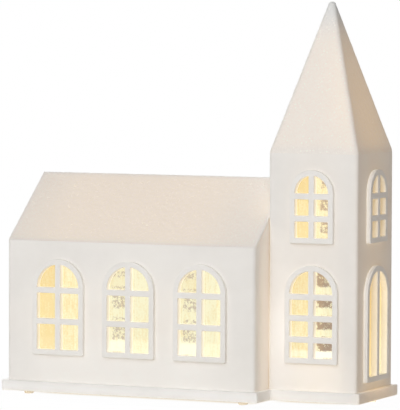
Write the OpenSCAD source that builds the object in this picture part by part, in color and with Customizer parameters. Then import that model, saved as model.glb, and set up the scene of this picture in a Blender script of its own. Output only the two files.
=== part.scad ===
// Lit porcelain village church: a nave with a gabled roof and a square tower with a spire.
// X runs along the nave toward the tower, Y from front to back and Z up.
// The origin is on the surface the feet stand on, under the middle of the outline.

/* [Nave] */
// Length of the nave along X
nave_l = 196.5; // [180:0.5:220]
// Depth of the nave from front wall to back wall
nave_d = 115; // [105:1:130]
// Height of the nave walls from the plinth to the eaves
nave_wall_h = 102; // [95:1:115]
// Rise of the roof from the eaves to the ridge
roof_rise = 47.7; // [40:0.1:56]
// Thickness of the roof slab
roof_t = 3; // [2.5:0.1:4]
// Radius along the ridge
ridge_r = 1.5; // [1:0.1:3]

/* [Tower] */
// Width and depth of the tower
tower_w = 68; // [64:1:76]
// Height of the tower walls from the plinth to the spire
tower_wall_h = 168.2; // [160:0.2:185]
// Rise of the spire to the point where its slopes would meet
spire_rise = 113.5; // [100:0.5:125]
// Thickness of the spire's slopes
spire_t = 3.5; // [3:0.1:4.5]
// Radius of the domed tip
tip_r = 4.8; // [3:0.1:6]

/* [Walls and plinth] */
// Thickness of the cast walls
wall_t = 4; // [3.5:0.1:5]
// Radius of the upright corners of the walls
wall_r = 3; // [1:0.1:4]
// Radius of the corners of the plinth and the trays
corner_r = 2; // [1:0.1:3]
// Height of the plinth
plinth_h = 7.5; // [6:0.1:9]
// How far the plinth stands out past the walls
plinth_out = 3.5; // [2.5:0.1:5]
// Width of the plinth's ledge inside the walls
plinth_ledge = 4; // [3:0.1:5]

/* [Feet] */
// Height of the bumper feet
foot_h = 2; // [1.5:0.1:3]
// Diameter of the bumper feet
foot_d = 7; // [5:0.1:9]

/* [Windows] */
// How far the window frames stand out from the walls
frame_proud = 3.1; // [2.5:0.1:4]
// Width of the frame round a window
frame_w = 3.9; // [3.4:0.1:4.6]
// Radius of the two lower corners of the window frames
frame_r = 1.2; // [0.5:0.1:1.5]
// Width of the glazing bars
bar_w = 4.2; // [3:0.1:5]
// Depth of the spigot that seats in the wall opening
spigot_d = 2; // [1.5:0.1:2.5]
// Width of the frame's lip that covers the edge of the opening
lip_w = 1.6; // [1:0.1:2]
// Thickness of the clear film behind the bars
film_t = 0.5; // [0.3:0.1:0.8]
// Width of the nave windows
nave_window_w = 41; // [36:1:46]
// Height of the nave windows
nave_window_h = 69.5; // [62:0.5:74]
// Height of the nave windows above the plinth
nave_window_sill = 19.7; // [14:0.1:24]
// Spacing of the nave windows
nave_window_pitch = 56.2; // [52:0.2:60]
// Width of the upper tower windows
upper_window_w = 33.2; // [28:0.2:38]
// Height of the upper tower windows
upper_window_h = 52; // [46:0.2:56]
// Height of the upper tower windows above the plinth
upper_window_sill = 104.8; // [100:0.1:109]
// Width of the lower tower windows
lower_window_w = 40.5; // [36:0.5:45]
// Height of the lower tower windows
lower_window_h = 69.6; // [62:0.2:74]
// Height of the lower tower windows above the plinth
lower_window_sill = 19.6; // [14:0.1:24]
// Width of the tower door
door_w = 42; // [38:0.5:46]
// Height of the tower door
door_h = 82.2; // [74:0.2:88]
// Height of the tower door above the plinth
door_sill = 6.1; // [4:0.1:9]

/* [Trays] */
// Thickness of the moulded trays that close the bottom
tray_t = 2; // [1.8:0.1:3]
// Gap round the trays that lets light out under the plinth
tray_gap = 1.2; // [0.8:0.1:1.6]
// Height of the tray's underside above the plinth's underside
tray_lift = 1.6; // [1.4:0.1:2]
// Diameter of the tray screws
screw_d = 3; // [2.5:0.1:3.5]

/* [Battery compartment] */
// Diameter of an AA cell
cell_d = 14.5; // [14:0.1:14.5]
// Length of an AA cell over its terminal
cell_l = 50.5; // [49:0.1:50.5]
// Thickness of the compartment's walls
well_t = 2; // [1.6:0.1:2.6]
// Thickness of the battery cover
cover_t = 1.6; // [1.4:0.1:1.8]
// Length of a contact spring under load
spring_l = 4; // [3.5:0.1:6]

/* [Switch] */
// Travel of the switch knob each way from its middle position
switch_travel = 2.5; // [1.5:0.1:3]

/* [Lamps] */
// Diameter of a lamp
led_d = 5; // [4:0.1:6]
// Height of a lamp
led_h = 8.6; // [7:0.1:10]

/* [Hidden] */
$fn = 48;

// Overrun of every cut past the face it opens
over = 1;
// Clearance between parts that are seated but not bonded
seat_gap = 0.3;
// Clearance that the battery cover needs beside its hinge to swing
swing_gap = 0.8;
// Clearance round a window's spigot and film in the wall opening
spigot_gap = 0.15;
// Radial clearance of a pin or screw in its bore
pin_fit = 0.05;

// Heights, from the feet up
plinth_z = foot_h;
wall_z = plinth_z + plinth_h;
eave_z = wall_z + nave_wall_h;
tower_top_z = wall_z + tower_wall_h;
tray_z = plinth_z + tray_lift;
tray_top_z = tray_z + tray_t;

// Places along X, with the outline centred on the origin
reach = max(plinth_out, frame_proud);
junction_x = (nave_l + plinth_out - tower_w - reach) / 2;
nave_x0 = junction_x - nave_l;
nave_cx = junction_x - nave_l / 2;
tower_x1 = junction_x + tower_w;
tower_cx = junction_x + tower_w / 2;

// Slopes of the roof and the spire, and what their slabs take up level and upright
roof_pitch = atan2(roof_rise, nave_d / 2);
roof_t_level = roof_t / sin(roof_pitch);
spire_pitch = atan2(spire_rise, tower_w / 2);
spire_t_level = spire_t / sin(spire_pitch);
// Depth of the dome's centre under the apex, as a share of where its ball just holds the hips
tip_share = 0.95;
// Lip under the spire that centres it in the tower
spire_lip_h = 4;
spire_lip_t = 2;

// Way through the two walls between nave and tower, for light and leads
passage_w = 30;
passage_h = 60;

// Openings of the plinth under the nave and the tower
bay_in = wall_t + plinth_ledge;
nave_bay_l = nave_l - 2 * bay_in;
nave_bay_d = nave_d - 2 * bay_in;
tower_bay_w = tower_w - 2 * bay_in;

// Places of the feet, measured in from the plinth's ends and edges
foot_in_left = 20;
foot_in_right = 13.3;
foot_in_edge = (plinth_out + bay_in) / 2;
foot_edge_r = 0.8;

// Blocks bonded into the corners, which take the tray screws
block_l = 10;
block_h = 10;
block_reach = 8;
block_in = 16;
screw_in = 4.6;
screw_grip = 6;
screw_head_d = 5.6;
screw_head_h = 1.3;
nave_block_xs = [nave_x0 + bay_in + block_in, junction_x - bay_in - block_in];

// Battery well and its hinged cover
cell_count = 3;
cell_gap = 0.5;
contact_t = 0.5;
contact_w = 9;
terminal_d = 5.5;
terminal_h = 1;
cell_edge_r = 0.6;
well_l = cell_l + spring_l + 2 * contact_t;
well_w = cell_count * (cell_d + cell_gap) + cell_gap;
well_h = cell_d + 2 * seat_gap;
cover_ledge = 0.8;
well_from_end = 42;
well_x = nave_x0 + bay_in + well_from_end;
well_z = tray_z + cover_t + seat_gap;
cell_z = well_z + cell_d / 2;
hinge_r = 1.8;
hinge_pin_r = 0.9;
hinge_pin_l = 2.2;
hinge_w = 24;
ear_t = 3;
ear_h = 5;
hinge_x = well_x - well_l / 2 - well_t - hinge_r - seat_gap;
hinge_z = tray_z + hinge_r;
thumb_r = 5;

// Contact spring, a cone of wire
spring_wire_r = 0.25;
spring_base_r = 4;
spring_top_r = 2.2;
spring_turns = 3;
spring_rings = 8;
spring_sides = 6;
spring_pitch = (spring_l - 2 * spring_wire_r) / spring_turns;
echo(least_gap_between_spring_turns = spring_pitch - 2 * spring_wire_r);

// Slide switch beside the battery well
knob_l = 3.2;
knob_w = 2.6;
knob_drop = 1.2;
slider_l = 6;
slider_w = 4;
slider_t = 1.5;
switch_shell = 1;
switch_from_well = 50;
switch_x = well_x + switch_from_well;
switch_y = -30;

// Lamp boards on their posts
board_t = 1.2;
board_w = 10;
board_end = 7;
tower_board_w = 16;
post_d = 6;
post_h = 9;
stake_d = 2;
stake_head = 0.8;
led_flange = 0.4;
led_flange_h = 1;
board_z = tray_top_z + post_h;
board_top_z = board_z + board_t;
nave_board_cx = (well_x + well_l / 2 + well_t + junction_x - bay_in) / 2;
nave_led_xs = [for (i = [-1 : 1]) nave_board_cx + i * nave_window_pitch / 2];
nave_board_x0 = nave_led_xs[0] - board_end;
nave_board_x1 = nave_led_xs[2] + board_end;
nave_post_xs = [(nave_led_xs[0] + nave_led_xs[1]) / 2, (nave_led_xs[1] + nave_led_xs[2]) / 2];
tower_led_shift = 4;

// Leads between the boards, the battery well and the switch
lead_r = 0.6;
lead_space = 2.4;
lead_rise = 8;
lead_rings = 12;
lead_sides = 8;
pad_in = 2.5;

// Rows of panes under the springing of each kind of window
nave_rows = 2;
upper_rows = 2;
lower_rows = 3;
door_rows = 0;

// Arched outline, w wide and h high over its flat foot, drawn in by inset
module arch(w, h, inset) {
    r = max(frame_r - inset, 0);
    translate([-w / 2 + inset, inset + r]) square([w - 2 * inset, h - w / 2 - inset - r]);
    translate([0, h - w / 2]) circle(r = w / 2 - inset);
    if (r > 0) {
        translate([-w / 2 + inset + r, inset]) square([w - 2 * (inset + r), r]);
        for (side = [-1, 1]) translate([side * (w / 2 - inset - r), inset + r]) circle(r = r);
    }
}

// Rectangle with round corners, centred
module round_plan(l, d, r) {
    square([l - 2 * r, d], center = true);
    square([l, d - 2 * r], center = true);
    for (sx = [-1, 1], sy = [-1, 1])
        translate([sx * (l / 2 - r), sy * (d / 2 - r)]) circle(r = r);
}

// Isosceles triangle on a flat foot, with its apex rounded to radius r
module blunt_triangle(half, rise, r) {
    pitch = atan2(rise, half);
    centre = rise - r / cos(pitch);
    side = r * sin(pitch);
    lift = centre + r * cos(pitch);
    polygon([[-half, 0], [half, 0], [side, lift], [0, centre], [-side, lift]]);
    translate([0, centre]) circle(r = r);
}

// Turn a drawing on its foot so that it looks out of the front, the back or the east side
module on_front(x, y, z) translate([x, y, z]) rotate([90, 0, 0]) children();
module on_back(x, y, z) translate([x, y, z]) rotate([90, 0, 180]) children();
module on_east(x, y, z) translate([x, y, z]) rotate([90, 0, 90]) children();

// Upright bar and a bar over each row of panes, up to the springing of the arch
module glazing_bars(w, h, rows) {
    pane_h = (h - w / 2 - frame_w - rows * bar_w) / max(rows, 1);
    translate([-bar_w / 2, 0]) square([bar_w, h]);
    for (k = [1 : 1 : rows])
        translate([-w / 2, frame_w + k * pane_h + (k - 1) * bar_w]) square([w, bar_w]);
}

// Frame and bars in the plane of the wall, with the frame's outside drawn in by lip
module lattice(w, h, rows, lip) {
    difference() {
        arch(w, h, lip);
        arch(w, h, frame_w);
    }
    intersection() {
        arch(w, h, (lip + frame_w) / 2);
        glazing_bars(w, h, rows);
    }
}

// One window casting: the proud lattice and the spigot that seats in the opening
module window_piece(w, h, rows) {
    linear_extrude(frame_proud) lattice(w, h, rows, 0);
    translate([0, 0, -spigot_d])
        linear_extrude(spigot_d) lattice(w, h, rows, lip_w + spigot_gap);
}

// Film behind one window
module pane(w, h) {
    translate([0, 0, -spigot_d - film_t])
        linear_extrude(film_t) arch(w, h, lip_w + spigot_gap);
}

// Hole in the wall for one window
module opening(w, h) {
    translate([0, 0, -wall_t - over])
        linear_extrude(wall_t + 2 * over) arch(w, h, lip_w);
}

// The places of the windows, for their frames, films and openings alike
module at_nave_windows(side) {
    for (i = [-1 : 1])
        if (side < 0)
            on_front(nave_cx + i * nave_window_pitch, -nave_d / 2, wall_z + nave_window_sill)
                children();
        else
            on_back(nave_cx + i * nave_window_pitch, nave_d / 2, wall_z + nave_window_sill)
                children();
}
module at_tower_face(side, sill) {
    if (side < 0) on_front(tower_cx, -tower_w / 2, wall_z + sill) children();
    else on_back(tower_cx, tower_w / 2, wall_z + sill) children();
}
module at_tower_side(sill) on_east(tower_x1, 0, wall_z + sill) children();

// Way through the walls at the junction
module passage() {
    translate([junction_x - wall_t - over, -passage_w / 2, wall_z - over])
        cube([2 * wall_t + 2 * over, passage_w, passage_h + over]);
}

module plinth() {
    color("#ebeae6")
    translate([0, 0, plinth_z])
    linear_extrude(plinth_h) difference() {
        union() {
            translate([nave_cx, 0])
                round_plan(nave_l + 2 * plinth_out, nave_d + 2 * plinth_out, corner_r);
            translate([tower_cx, 0])
                round_plan(tower_w + 2 * plinth_out, tower_w + 2 * plinth_out, corner_r);
        }
        translate([nave_cx, 0]) round_plan(nave_bay_l, nave_bay_d, corner_r);
        translate([tower_cx, 0]) round_plan(tower_bay_w, tower_bay_w, corner_r);
    }
}

// Upright prism on the nave's rounded plan, which trims the walls and the roof alike
module nave_column(z, h) {
    translate([nave_cx, 0, z]) linear_extrude(h) round_plan(nave_l, nave_d, wall_r);
}

// Ridge-shaped prism along the nave, from one x to another
module ridge_prism(x0, x1, half, rise, r) {
    translate([x0, 0, eave_z]) rotate([90, 0, 90])
        linear_extrude(x1 - x0) blunt_triangle(half, rise, r);
}

module nave_walls() {
    half = nave_d / 2 - roof_t_level;
    color("#ede9e3")
    difference() {
        intersection() {
            nave_column(wall_z, nave_wall_h + roof_rise);
            union() {
                translate([nave_x0, -nave_d / 2, wall_z]) cube([nave_l, nave_d, nave_wall_h]);
                ridge_prism(nave_x0, junction_x, half, half * tan(roof_pitch), 0);
            }
        }
        translate([nave_x0 + wall_t, -nave_d / 2 + wall_t, wall_z - over])
            cube([nave_l - 2 * wall_t, nave_d - 2 * wall_t, nave_wall_h + roof_rise + 2 * over]);
        at_nave_windows(-1) opening(nave_window_w, nave_window_h);
        at_nave_windows(1) opening(nave_window_w, nave_window_h);
        passage();
    }
}

module nave_roof() {
    half = nave_d / 2 - roof_t_level;
    color("#e8ded2")
    difference() {
        intersection() {
            nave_column(eave_z, roof_rise);
            ridge_prism(nave_x0, junction_x, nave_d / 2, roof_rise, ridge_r);
        }
        ridge_prism(nave_x0 - over, junction_x + over, half, half * tan(roof_pitch), 0);
    }
}

module tower_walls() {
    color("#ede9e3")
    difference() {
        translate([tower_cx, 0, wall_z])
            linear_extrude(tower_wall_h) round_plan(tower_w, tower_w, wall_r);
        translate([junction_x + wall_t, -tower_w / 2 + wall_t, wall_z - over])
            cube([tower_w - 2 * wall_t, tower_w - 2 * wall_t, tower_wall_h + 2 * over]);
        for (side = [-1, 1]) {
            at_tower_face(side, lower_window_sill) opening(lower_window_w, lower_window_h);
            at_tower_face(side, upper_window_sill) opening(upper_window_w, upper_window_h);
        }
        at_tower_side(upper_window_sill) opening(upper_window_w, upper_window_h);
        at_tower_side(door_sill) opening(door_w, door_h);
        passage();
    }
}

// Square pyramid: two triangular prisms that cross
module pyramid(half, rise) {
    face = [[-half, 0], [half, 0], [0, rise]];
    intersection() {
        rotate([90, 0, 0]) linear_extrude(2 * half, center = true) polygon(face);
        rotate([90, 0, 90]) linear_extrude(2 * half, center = true) polygon(face);
    }
}

// Everything under a dome whose ball holds all four hips at its own height
module domed_column(half, rise, r) {
    dome_z = rise - tip_share * r * tan(spire_pitch) / sqrt(2);
    cylinder(h = dome_z, r = 2 * half);
    translate([0, 0, dome_z]) sphere(r = r);
}

module spire() {
    half = tower_w / 2;
    inner = half - spire_t_level;
    lip = tower_w - 2 * (wall_t + seat_gap);
    color("#eee5db")
    translate([tower_cx, 0, tower_top_z]) {
        difference() {
            intersection() {
                pyramid(half, spire_rise);
                domed_column(half, spire_rise, tip_r);
                linear_extrude(spire_rise) round_plan(tower_w, tower_w, wall_r);
            }
            pyramid(inner, inner * tan(spire_pitch));
        }
        translate([0, 0, -spire_lip_h]) linear_extrude(spire_lip_h + 2 * spire_t) difference() {
            square(lip, center = true);
            square(lip - 2 * spire_lip_t, center = true);
        }
    }
}

module nave_front_windows() {
    color("#e3e2e2") at_nave_windows(-1) window_piece(nave_window_w, nave_window_h, nave_rows);
}
module nave_back_windows() {
    color("#e3e2e2") at_nave_windows(1) window_piece(nave_window_w, nave_window_h, nave_rows);
}
module tower_front_lower_window() {
    color("#e3e2e2") at_tower_face(-1, lower_window_sill)
        window_piece(lower_window_w, lower_window_h, lower_rows);
}
module tower_front_upper_window() {
    color("#e3e2e2") at_tower_face(-1, upper_window_sill)
        window_piece(upper_window_w, upper_window_h, upper_rows);
}
module tower_back_lower_window() {
    color("#e3e2e2") at_tower_face(1, lower_window_sill)
        window_piece(lower_window_w, lower_window_h, lower_rows);
}
module tower_back_upper_window() {
    color("#e3e2e2") at_tower_face(1, upper_window_sill)
        window_piece(upper_window_w, upper_window_h, upper_rows);
}
module tower_side_upper_window() {
    color("#e3e2e2") at_tower_side(upper_window_sill)
        window_piece(upper_window_w, upper_window_h, upper_rows);
}
module tower_door() {
    color("#e3e2e2") at_tower_side(door_sill) window_piece(door_w, door_h, door_rows);
}

module nave_front_panes() {
    color("#fdecb2", 0.6) at_nave_windows(-1) pane(nave_window_w, nave_window_h);
}
module nave_back_panes() {
    color("#fdecb2", 0.6) at_nave_windows(1) pane(nave_window_w, nave_window_h);
}
module tower_face_panes(side) {
    at_tower_face(side, lower_window_sill) pane(lower_window_w, lower_window_h);
    at_tower_face(side, upper_window_sill) pane(upper_window_w, upper_window_h);
}
module tower_front_panes() { color("#fdecb2", 0.6) tower_face_panes(-1); }
module tower_back_panes() { color("#fdecb2", 0.6) tower_face_panes(1); }
module tower_side_panes() {
    color("#fdecb2", 0.6) {
        at_tower_side(upper_window_sill) pane(upper_window_w, upper_window_h);
        at_tower_side(door_sill) pane(door_w, door_h);
    }
}

// The places of the blocks and their screws: x, side of the house, depth of the bay
module at_blocks() {
    for (x = nave_block_xs, side = [-1, 1])
        translate([x, side * nave_bay_d / 2, 0]) mirror([0, side > 0 ? 1 : 0, 0]) children();
    for (side = [-1, 1])
        translate([tower_cx, side * tower_bay_w / 2, 0]) mirror([0, side > 0 ? 1 : 0, 0]) children();
}

// Block on the plinth's ledge, with a foot that reaches down to the tray
module fixing_blocks() {
    color("#dddddd")
    at_blocks() difference() {
        union() {
            translate([-block_l / 2, -plinth_ledge, wall_z])
                cube([block_l, plinth_ledge + block_reach, block_h]);
            translate([-block_l / 2, seat_gap, tray_top_z])
                cube([block_l, block_reach - seat_gap, wall_z - tray_top_z + block_h]);
        }
        translate([0, screw_in, tray_top_z - over])
            cylinder(h = screw_grip + seat_gap + over, r = screw_d / 2 + pin_fit);
    }
}

module tray_screws() {
    color("silver")
    at_blocks() translate([0, screw_in, tray_z]) {
        cylinder(h = tray_t + screw_grip, d = screw_d);
        translate([0, 0, -screw_head_h]) cylinder(h = screw_head_h, d = screw_head_d);
    }
}

// Screw holes of both trays
module tray_holes() {
    at_blocks() translate([0, screw_in, tray_z - over])
        cylinder(h = tray_t + 2 * over, r = screw_d / 2 + pin_fit);
}

// Post with the stake that holds a lamp board
module board_post(x) {
    translate([x, 0, tray_top_z]) cylinder(h = post_h, d = post_d);
    translate([x, 0, board_z]) cylinder(h = board_t + stake_head, d = stake_d);
}

// Ears at both ends of the cover's hinge
module hinge_ears() {
    for (side = [-1, 1])
        translate([hinge_x, side * (hinge_w / 2 + seat_gap + ear_t / 2), tray_z + ear_h / 2])
            cube([2 * (hinge_r + seat_gap), ear_t, ear_h], center = true);
}

module nave_tray() {
    recess_l = well_l + 2 * cover_ledge;
    recess_w = well_w + 2 * cover_ledge;
    color("#f2f0ea")
    difference() {
        union() {
            translate([nave_cx, 0, tray_z]) linear_extrude(tray_t)
                round_plan(nave_bay_l - 2 * tray_gap, nave_bay_d - 2 * tray_gap, corner_r);
            translate([well_x, 0, tray_z + (well_z - tray_z + well_h + well_t) / 2])
                cube([well_l + 2 * well_t, well_w + 2 * well_t,
                      well_z - tray_z + well_h + well_t], center = true);
            hinge_ears();
            for (x = nave_post_xs) board_post(x);
        }
        translate([well_x, 0, well_z + well_h / 2]) cube([well_l, well_w, well_h], center = true);
        translate([well_x - recess_l / 2, -recess_w / 2, tray_z - over])
            cube([recess_l, recess_w, well_z - tray_z + over]);
        translate([hinge_x, -hinge_w / 2 - seat_gap, tray_z - over])
            cube([well_x - recess_l / 2 - hinge_x + over, hinge_w + 2 * seat_gap,
                  well_z - tray_z + over]);
        translate([hinge_x - hinge_r - swing_gap, -hinge_w / 2 - seat_gap, tray_z - over])
            cube([2 * hinge_r + seat_gap + swing_gap, hinge_w + 2 * seat_gap, tray_t + 2 * over]);
        translate([hinge_x, 0, hinge_z]) rotate([90, 0, 0])
            cylinder(h = hinge_w + 2 * (seat_gap + ear_t + over), r = hinge_pin_r + pin_fit,
                     center = true);
        translate([switch_x, switch_y, tray_z + tray_t / 2])
            cube([knob_l + 2 * (switch_travel + seat_gap), knob_w + 2 * seat_gap,
                  tray_t + 2 * over], center = true);
        tray_holes();
    }
}

module tower_tray() {
    color("#f2f0ea")
    difference() {
        union() {
            translate([tower_cx, 0, tray_z]) linear_extrude(tray_t)
                round_plan(tower_bay_w - 2 * tray_gap, tower_bay_w - 2 * tray_gap, corner_r);
            board_post(tower_cx - tower_led_shift);
        }
        tray_holes();
    }
}

module battery_cover() {
    plate_x0 = well_x - well_l / 2 - cover_ledge + swing_gap;
    plate_x1 = well_x + well_l / 2 + cover_ledge - seat_gap;
    plate_w = well_w + 2 * (cover_ledge - seat_gap);
    color("#f2f0ea")
    difference() {
        union() {
            translate([plate_x0, -plate_w / 2, tray_z]) cube([plate_x1 - plate_x0, plate_w, cover_t]);
            translate([hinge_x, -hinge_w / 2, tray_z])
                cube([plate_x0 - hinge_x + over, hinge_w, cover_t]);
            translate([hinge_x, 0, hinge_z]) rotate([90, 0, 0]) {
                cylinder(h = hinge_w, r = hinge_r, center = true);
                cylinder(h = hinge_w + 2 * (seat_gap + hinge_pin_l), r = hinge_pin_r, center = true);
            }
        }
        translate([plate_x1, 0, tray_z - over]) cylinder(h = cover_t + 2 * over, r = thumb_r);
    }
}

module bumper_foot() {
    rotate_extrude() {
        translate([0, foot_edge_r]) square([foot_d / 2, foot_h - foot_edge_r]);
        square([foot_d / 2 - foot_edge_r, foot_h]);
        translate([foot_d / 2 - foot_edge_r, foot_edge_r]) intersection() {
            circle(r = foot_edge_r);
            translate([0, -foot_edge_r]) square(foot_edge_r);
        }
    }
}

module bumper_feet() {
    edge = nave_d / 2 + plinth_out - foot_in_edge;
    color("#f4f1e8", 0.7) {
        for (side = [-1, 1]) {
            translate([nave_x0 - plinth_out + foot_in_left, side * edge, 0]) bumper_foot();
            translate([junction_x + plinth_out - foot_in_right, side * edge, 0]) bumper_foot();
        }
        translate([tower_x1 + plinth_out - foot_in_edge, 0, 0]) bumper_foot();
    }
}

// The cells and contacts lie side by side, with every second one turned end for end
module at_cells() {
    for (i = [0 : cell_count - 1])
        translate([well_x, (i - (cell_count - 1) / 2) * (cell_d + cell_gap), cell_z])
            rotate([0, 0, i % 2 == 0 ? 0 : 180]) children();
}

// One cell along X, its can drawn as a body of revolution with round shoulders
module cell() {
    can_l = cell_l - terminal_h;
    rotate([0, 90, 0]) {
        rotate_extrude() {
            translate([0, cell_edge_r]) square([cell_d / 2, can_l - 2 * cell_edge_r]);
            square([cell_d / 2 - cell_edge_r, can_l]);
            for (y = [cell_edge_r, can_l - cell_edge_r])
                translate([cell_d / 2 - cell_edge_r, y]) circle(r = cell_edge_r);
        }
        cylinder(h = cell_l, d = terminal_d);
    }
}

module aa_cells() {
    color("#c9b458")
    at_cells() translate([-well_l / 2 + contact_t + spring_l, 0, 0]) cell();
}

// Plates against both end walls of the well, one pair to a cell
module battery_plates() {
    color("silver")
    at_cells() for (side = [-1, 1])
        translate([side * (well_l - contact_t) / 2, 0, 0])
            cube([contact_t, contact_w, contact_w], center = true);
}

// Tube through a list of rings, each a list of points that runs clockwise along the tube
module tube(rings) {
    sides = len(rings[0]);
    last = (len(rings) - 1) * sides;
    skin = [for (k = [0 : len(rings) - 2], j = [0 : sides - 1])
        let (a = k * sides + j, b = k * sides + (j + 1) % sides)
        each [[a, b, a + sides], [b, b + sides, a + sides]]];
    first_cap = [for (j = [1 : sides - 2]) [0, j + 1, j]];
    last_cap = [for (j = [1 : sides - 2]) [last, last + j, last + j + 1]];
    polyhedron(points = [for (ring = rings) each ring], faces = concat(skin, first_cap, last_cap));
}

// Ring of the spring's wire at a share s of its length, on a cone that stands along Z
function spring_ring(s) =
    let (turn = 360 * spring_turns * s,
         r = spring_base_r + (spring_top_r - spring_base_r) * s,
         out = [cos(turn), sin(turn), 0],
         centre = r * out + [0, 0, spring_wire_r + s * (spring_l - 2 * spring_wire_r)])
    [for (j = [0 : spring_sides - 1]) let (b = 360 * j / spring_sides)
        centre + spring_wire_r * (cos(b) * out + [0, 0, sin(b)])];

module contact_spring() {
    count = spring_turns * spring_rings;
    tube([for (k = [0 : count]) spring_ring(k / count)]);
}

module battery_springs() {
    color("silver")
    at_cells() translate([-well_l / 2 + contact_t, 0, 0]) rotate([0, 90, 0]) contact_spring();
}

module switch_housing() {
    room_l = slider_l + 2 * (switch_travel + seat_gap);
    room_w = slider_w + 2 * seat_gap;
    room_h = slider_t + 2 * seat_gap;
    color("#3a3a3c")
    translate([switch_x, switch_y, tray_top_z]) difference() {
        translate([0, 0, (room_h + switch_shell) / 2])
            cube([room_l + 2 * switch_shell, room_w + 2 * switch_shell, room_h + switch_shell],
                 center = true);
        cube([room_l, room_w, 2 * room_h], center = true);
    }
}

module switch_knob() {
    stem_h = tray_top_z - tray_z + knob_drop + seat_gap;
    color("#3a3a3c")
    translate([switch_x, switch_y, 0]) {
        translate([0, 0, tray_z - knob_drop + stem_h / 2]) cube([knob_l, knob_w, stem_h], center = true);
        translate([0, 0, tray_top_z + seat_gap + slider_t / 2])
            cube([slider_l, slider_w, slider_t], center = true);
    }
}

// Board with a bore for each stake
module led_board(x0, x1, width, stakes) {
    difference() {
        translate([x0, -width / 2, board_z]) cube([x1 - x0, width, board_t]);
        for (x = stakes)
            translate([x, 0, board_z - over]) cylinder(h = board_t + 2 * over, r = stake_d / 2 + pin_fit);
    }
}

module nave_led_board() {
    color("#e9ece8") led_board(nave_board_x0, nave_board_x1, board_w, nave_post_xs);
}
module tower_led_board() {
    color("#e9ece8")
    led_board(tower_cx - tower_board_w / 2, tower_cx + tower_board_w / 2, tower_board_w,
              [tower_cx - tower_led_shift]);
}

// Lamp with a flange, a cylindrical body and a domed end
module led(x) {
    translate([x, 0, board_top_z]) {
        cylinder(h = led_h - led_d / 2, d = led_d);
        cylinder(h = led_flange_h, r = led_d / 2 + led_flange);
        translate([0, 0, led_h - led_d / 2]) sphere(d = led_d);
    }
}

module nave_leds() { color("#fff3d0", 0.8) for (x = nave_led_xs) led(x); }
module tower_led() { color("#fff3d0", 0.8) led(tower_cx + tower_led_shift); }

// Place and direction at a share s of the curve that four points steer
function curve_at(p, s) =
    (1 - s) ^ 3 * p[0] + 3 * (1 - s) ^ 2 * s * p[1] + 3 * (1 - s) * s ^ 2 * p[2] + s ^ 3 * p[3];
function curve_run(p, s) =
    (1 - s) ^ 2 * (p[1] - p[0]) + 2 * (1 - s) * s * (p[2] - p[1]) + s ^ 2 * (p[3] - p[2]);

// Lead that leaves one place upright, arches over and comes down upright on another
module lead(from, to) {
    steer = [from, from + [0, 0, lead_rise], to + [0, 0, lead_rise], to];
    across = cross([0, 0, 1], to - from);
    side = across / norm(across);
    tube([for (k = [0 : lead_rings])
        let (s = k / lead_rings, run = curve_run(steer, s), up = cross(run / norm(run), side))
        [for (j = [0 : lead_sides - 1]) let (b = 360 * j / lead_sides)
            curve_at(steer, s) + lead_r * (cos(b) * side - sin(b) * up)]]);
}

module leads() {
    well_top_z = well_z + well_h + well_t;
    well_out = well_x + well_l / 2 - pad_in;
    nave_in = nave_board_x0 + pad_in;
    nave_out = nave_board_x1 - pad_in;
    tower_in = tower_cx - tower_board_w / 2 + pad_in;
    switch_top = tray_top_z + slider_t + 2 * seat_gap + switch_shell;
    color("#f0efe9") {
        for (y = [-lead_space / 2, lead_space / 2])
            lead([nave_out, y, board_top_z], [tower_in, y, board_top_z]);
        lead([well_out, lead_space, well_top_z], [nave_in, lead_space, board_top_z]);
        lead([switch_x - lead_space, switch_y, switch_top], [well_out, -lead_space, well_top_z]);
        lead([switch_x + lead_space, switch_y, switch_top], [nave_in, -lead_space, board_top_z]);
    }
}

plinth();
nave_walls();
nave_roof();
tower_walls();
spire();
nave_front_windows();
nave_back_windows();
tower_front_lower_window();
tower_front_upper_window();
tower_back_lower_window();
tower_back_upper_window();
tower_side_upper_window();
tower_door();
nave_front_panes();
nave_back_panes();
tower_front_panes();
tower_back_panes();
tower_side_panes();
nave_tray();
tower_tray();
battery_cover();
fixing_blocks();
tray_screws();
bumper_feet();
aa_cells();
battery_springs();
battery_plates();
switch_housing();
switch_knob();
nave_led_board();
tower_led_board();
nave_leds();
tower_led();
leads();
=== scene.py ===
"""Looks of a lit porcelain village church with a nave, a square tower and a spire.

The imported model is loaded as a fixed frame. The bisque castings are made again as meshes with
softened edges, the roof and the spire get their sugar-snow coat, the windows their embossed film,
and every other piece keeps its construction shape and gets its finish. Lengths are in metres; MM
turns a real size in millimetres into metres. Colours are sRGB hex codes.
"""

import logging
import math
import random
from dataclasses import dataclass, field
from enum import Enum
from typing import NamedTuple

import bmesh
import bpy
from mathutils import Matrix, Vector, noise
from mathutils.geometry import tessellate_polygon

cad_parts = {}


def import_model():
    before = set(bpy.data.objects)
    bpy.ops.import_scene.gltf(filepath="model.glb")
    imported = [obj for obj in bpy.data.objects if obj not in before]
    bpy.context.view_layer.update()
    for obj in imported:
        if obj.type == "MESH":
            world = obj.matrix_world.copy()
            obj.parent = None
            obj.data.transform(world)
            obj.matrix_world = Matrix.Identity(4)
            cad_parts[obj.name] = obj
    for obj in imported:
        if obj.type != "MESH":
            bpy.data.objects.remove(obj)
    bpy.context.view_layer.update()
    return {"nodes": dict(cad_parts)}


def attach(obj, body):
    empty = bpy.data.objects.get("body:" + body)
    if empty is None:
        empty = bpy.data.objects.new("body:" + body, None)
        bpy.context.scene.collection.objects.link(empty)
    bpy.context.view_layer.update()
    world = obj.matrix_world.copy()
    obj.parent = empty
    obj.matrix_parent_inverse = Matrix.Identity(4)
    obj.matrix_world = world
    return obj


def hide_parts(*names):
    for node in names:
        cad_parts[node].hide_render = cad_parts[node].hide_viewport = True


MM = 0.001
HOUSE = "house"
log = logging.getLogger("church")

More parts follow.
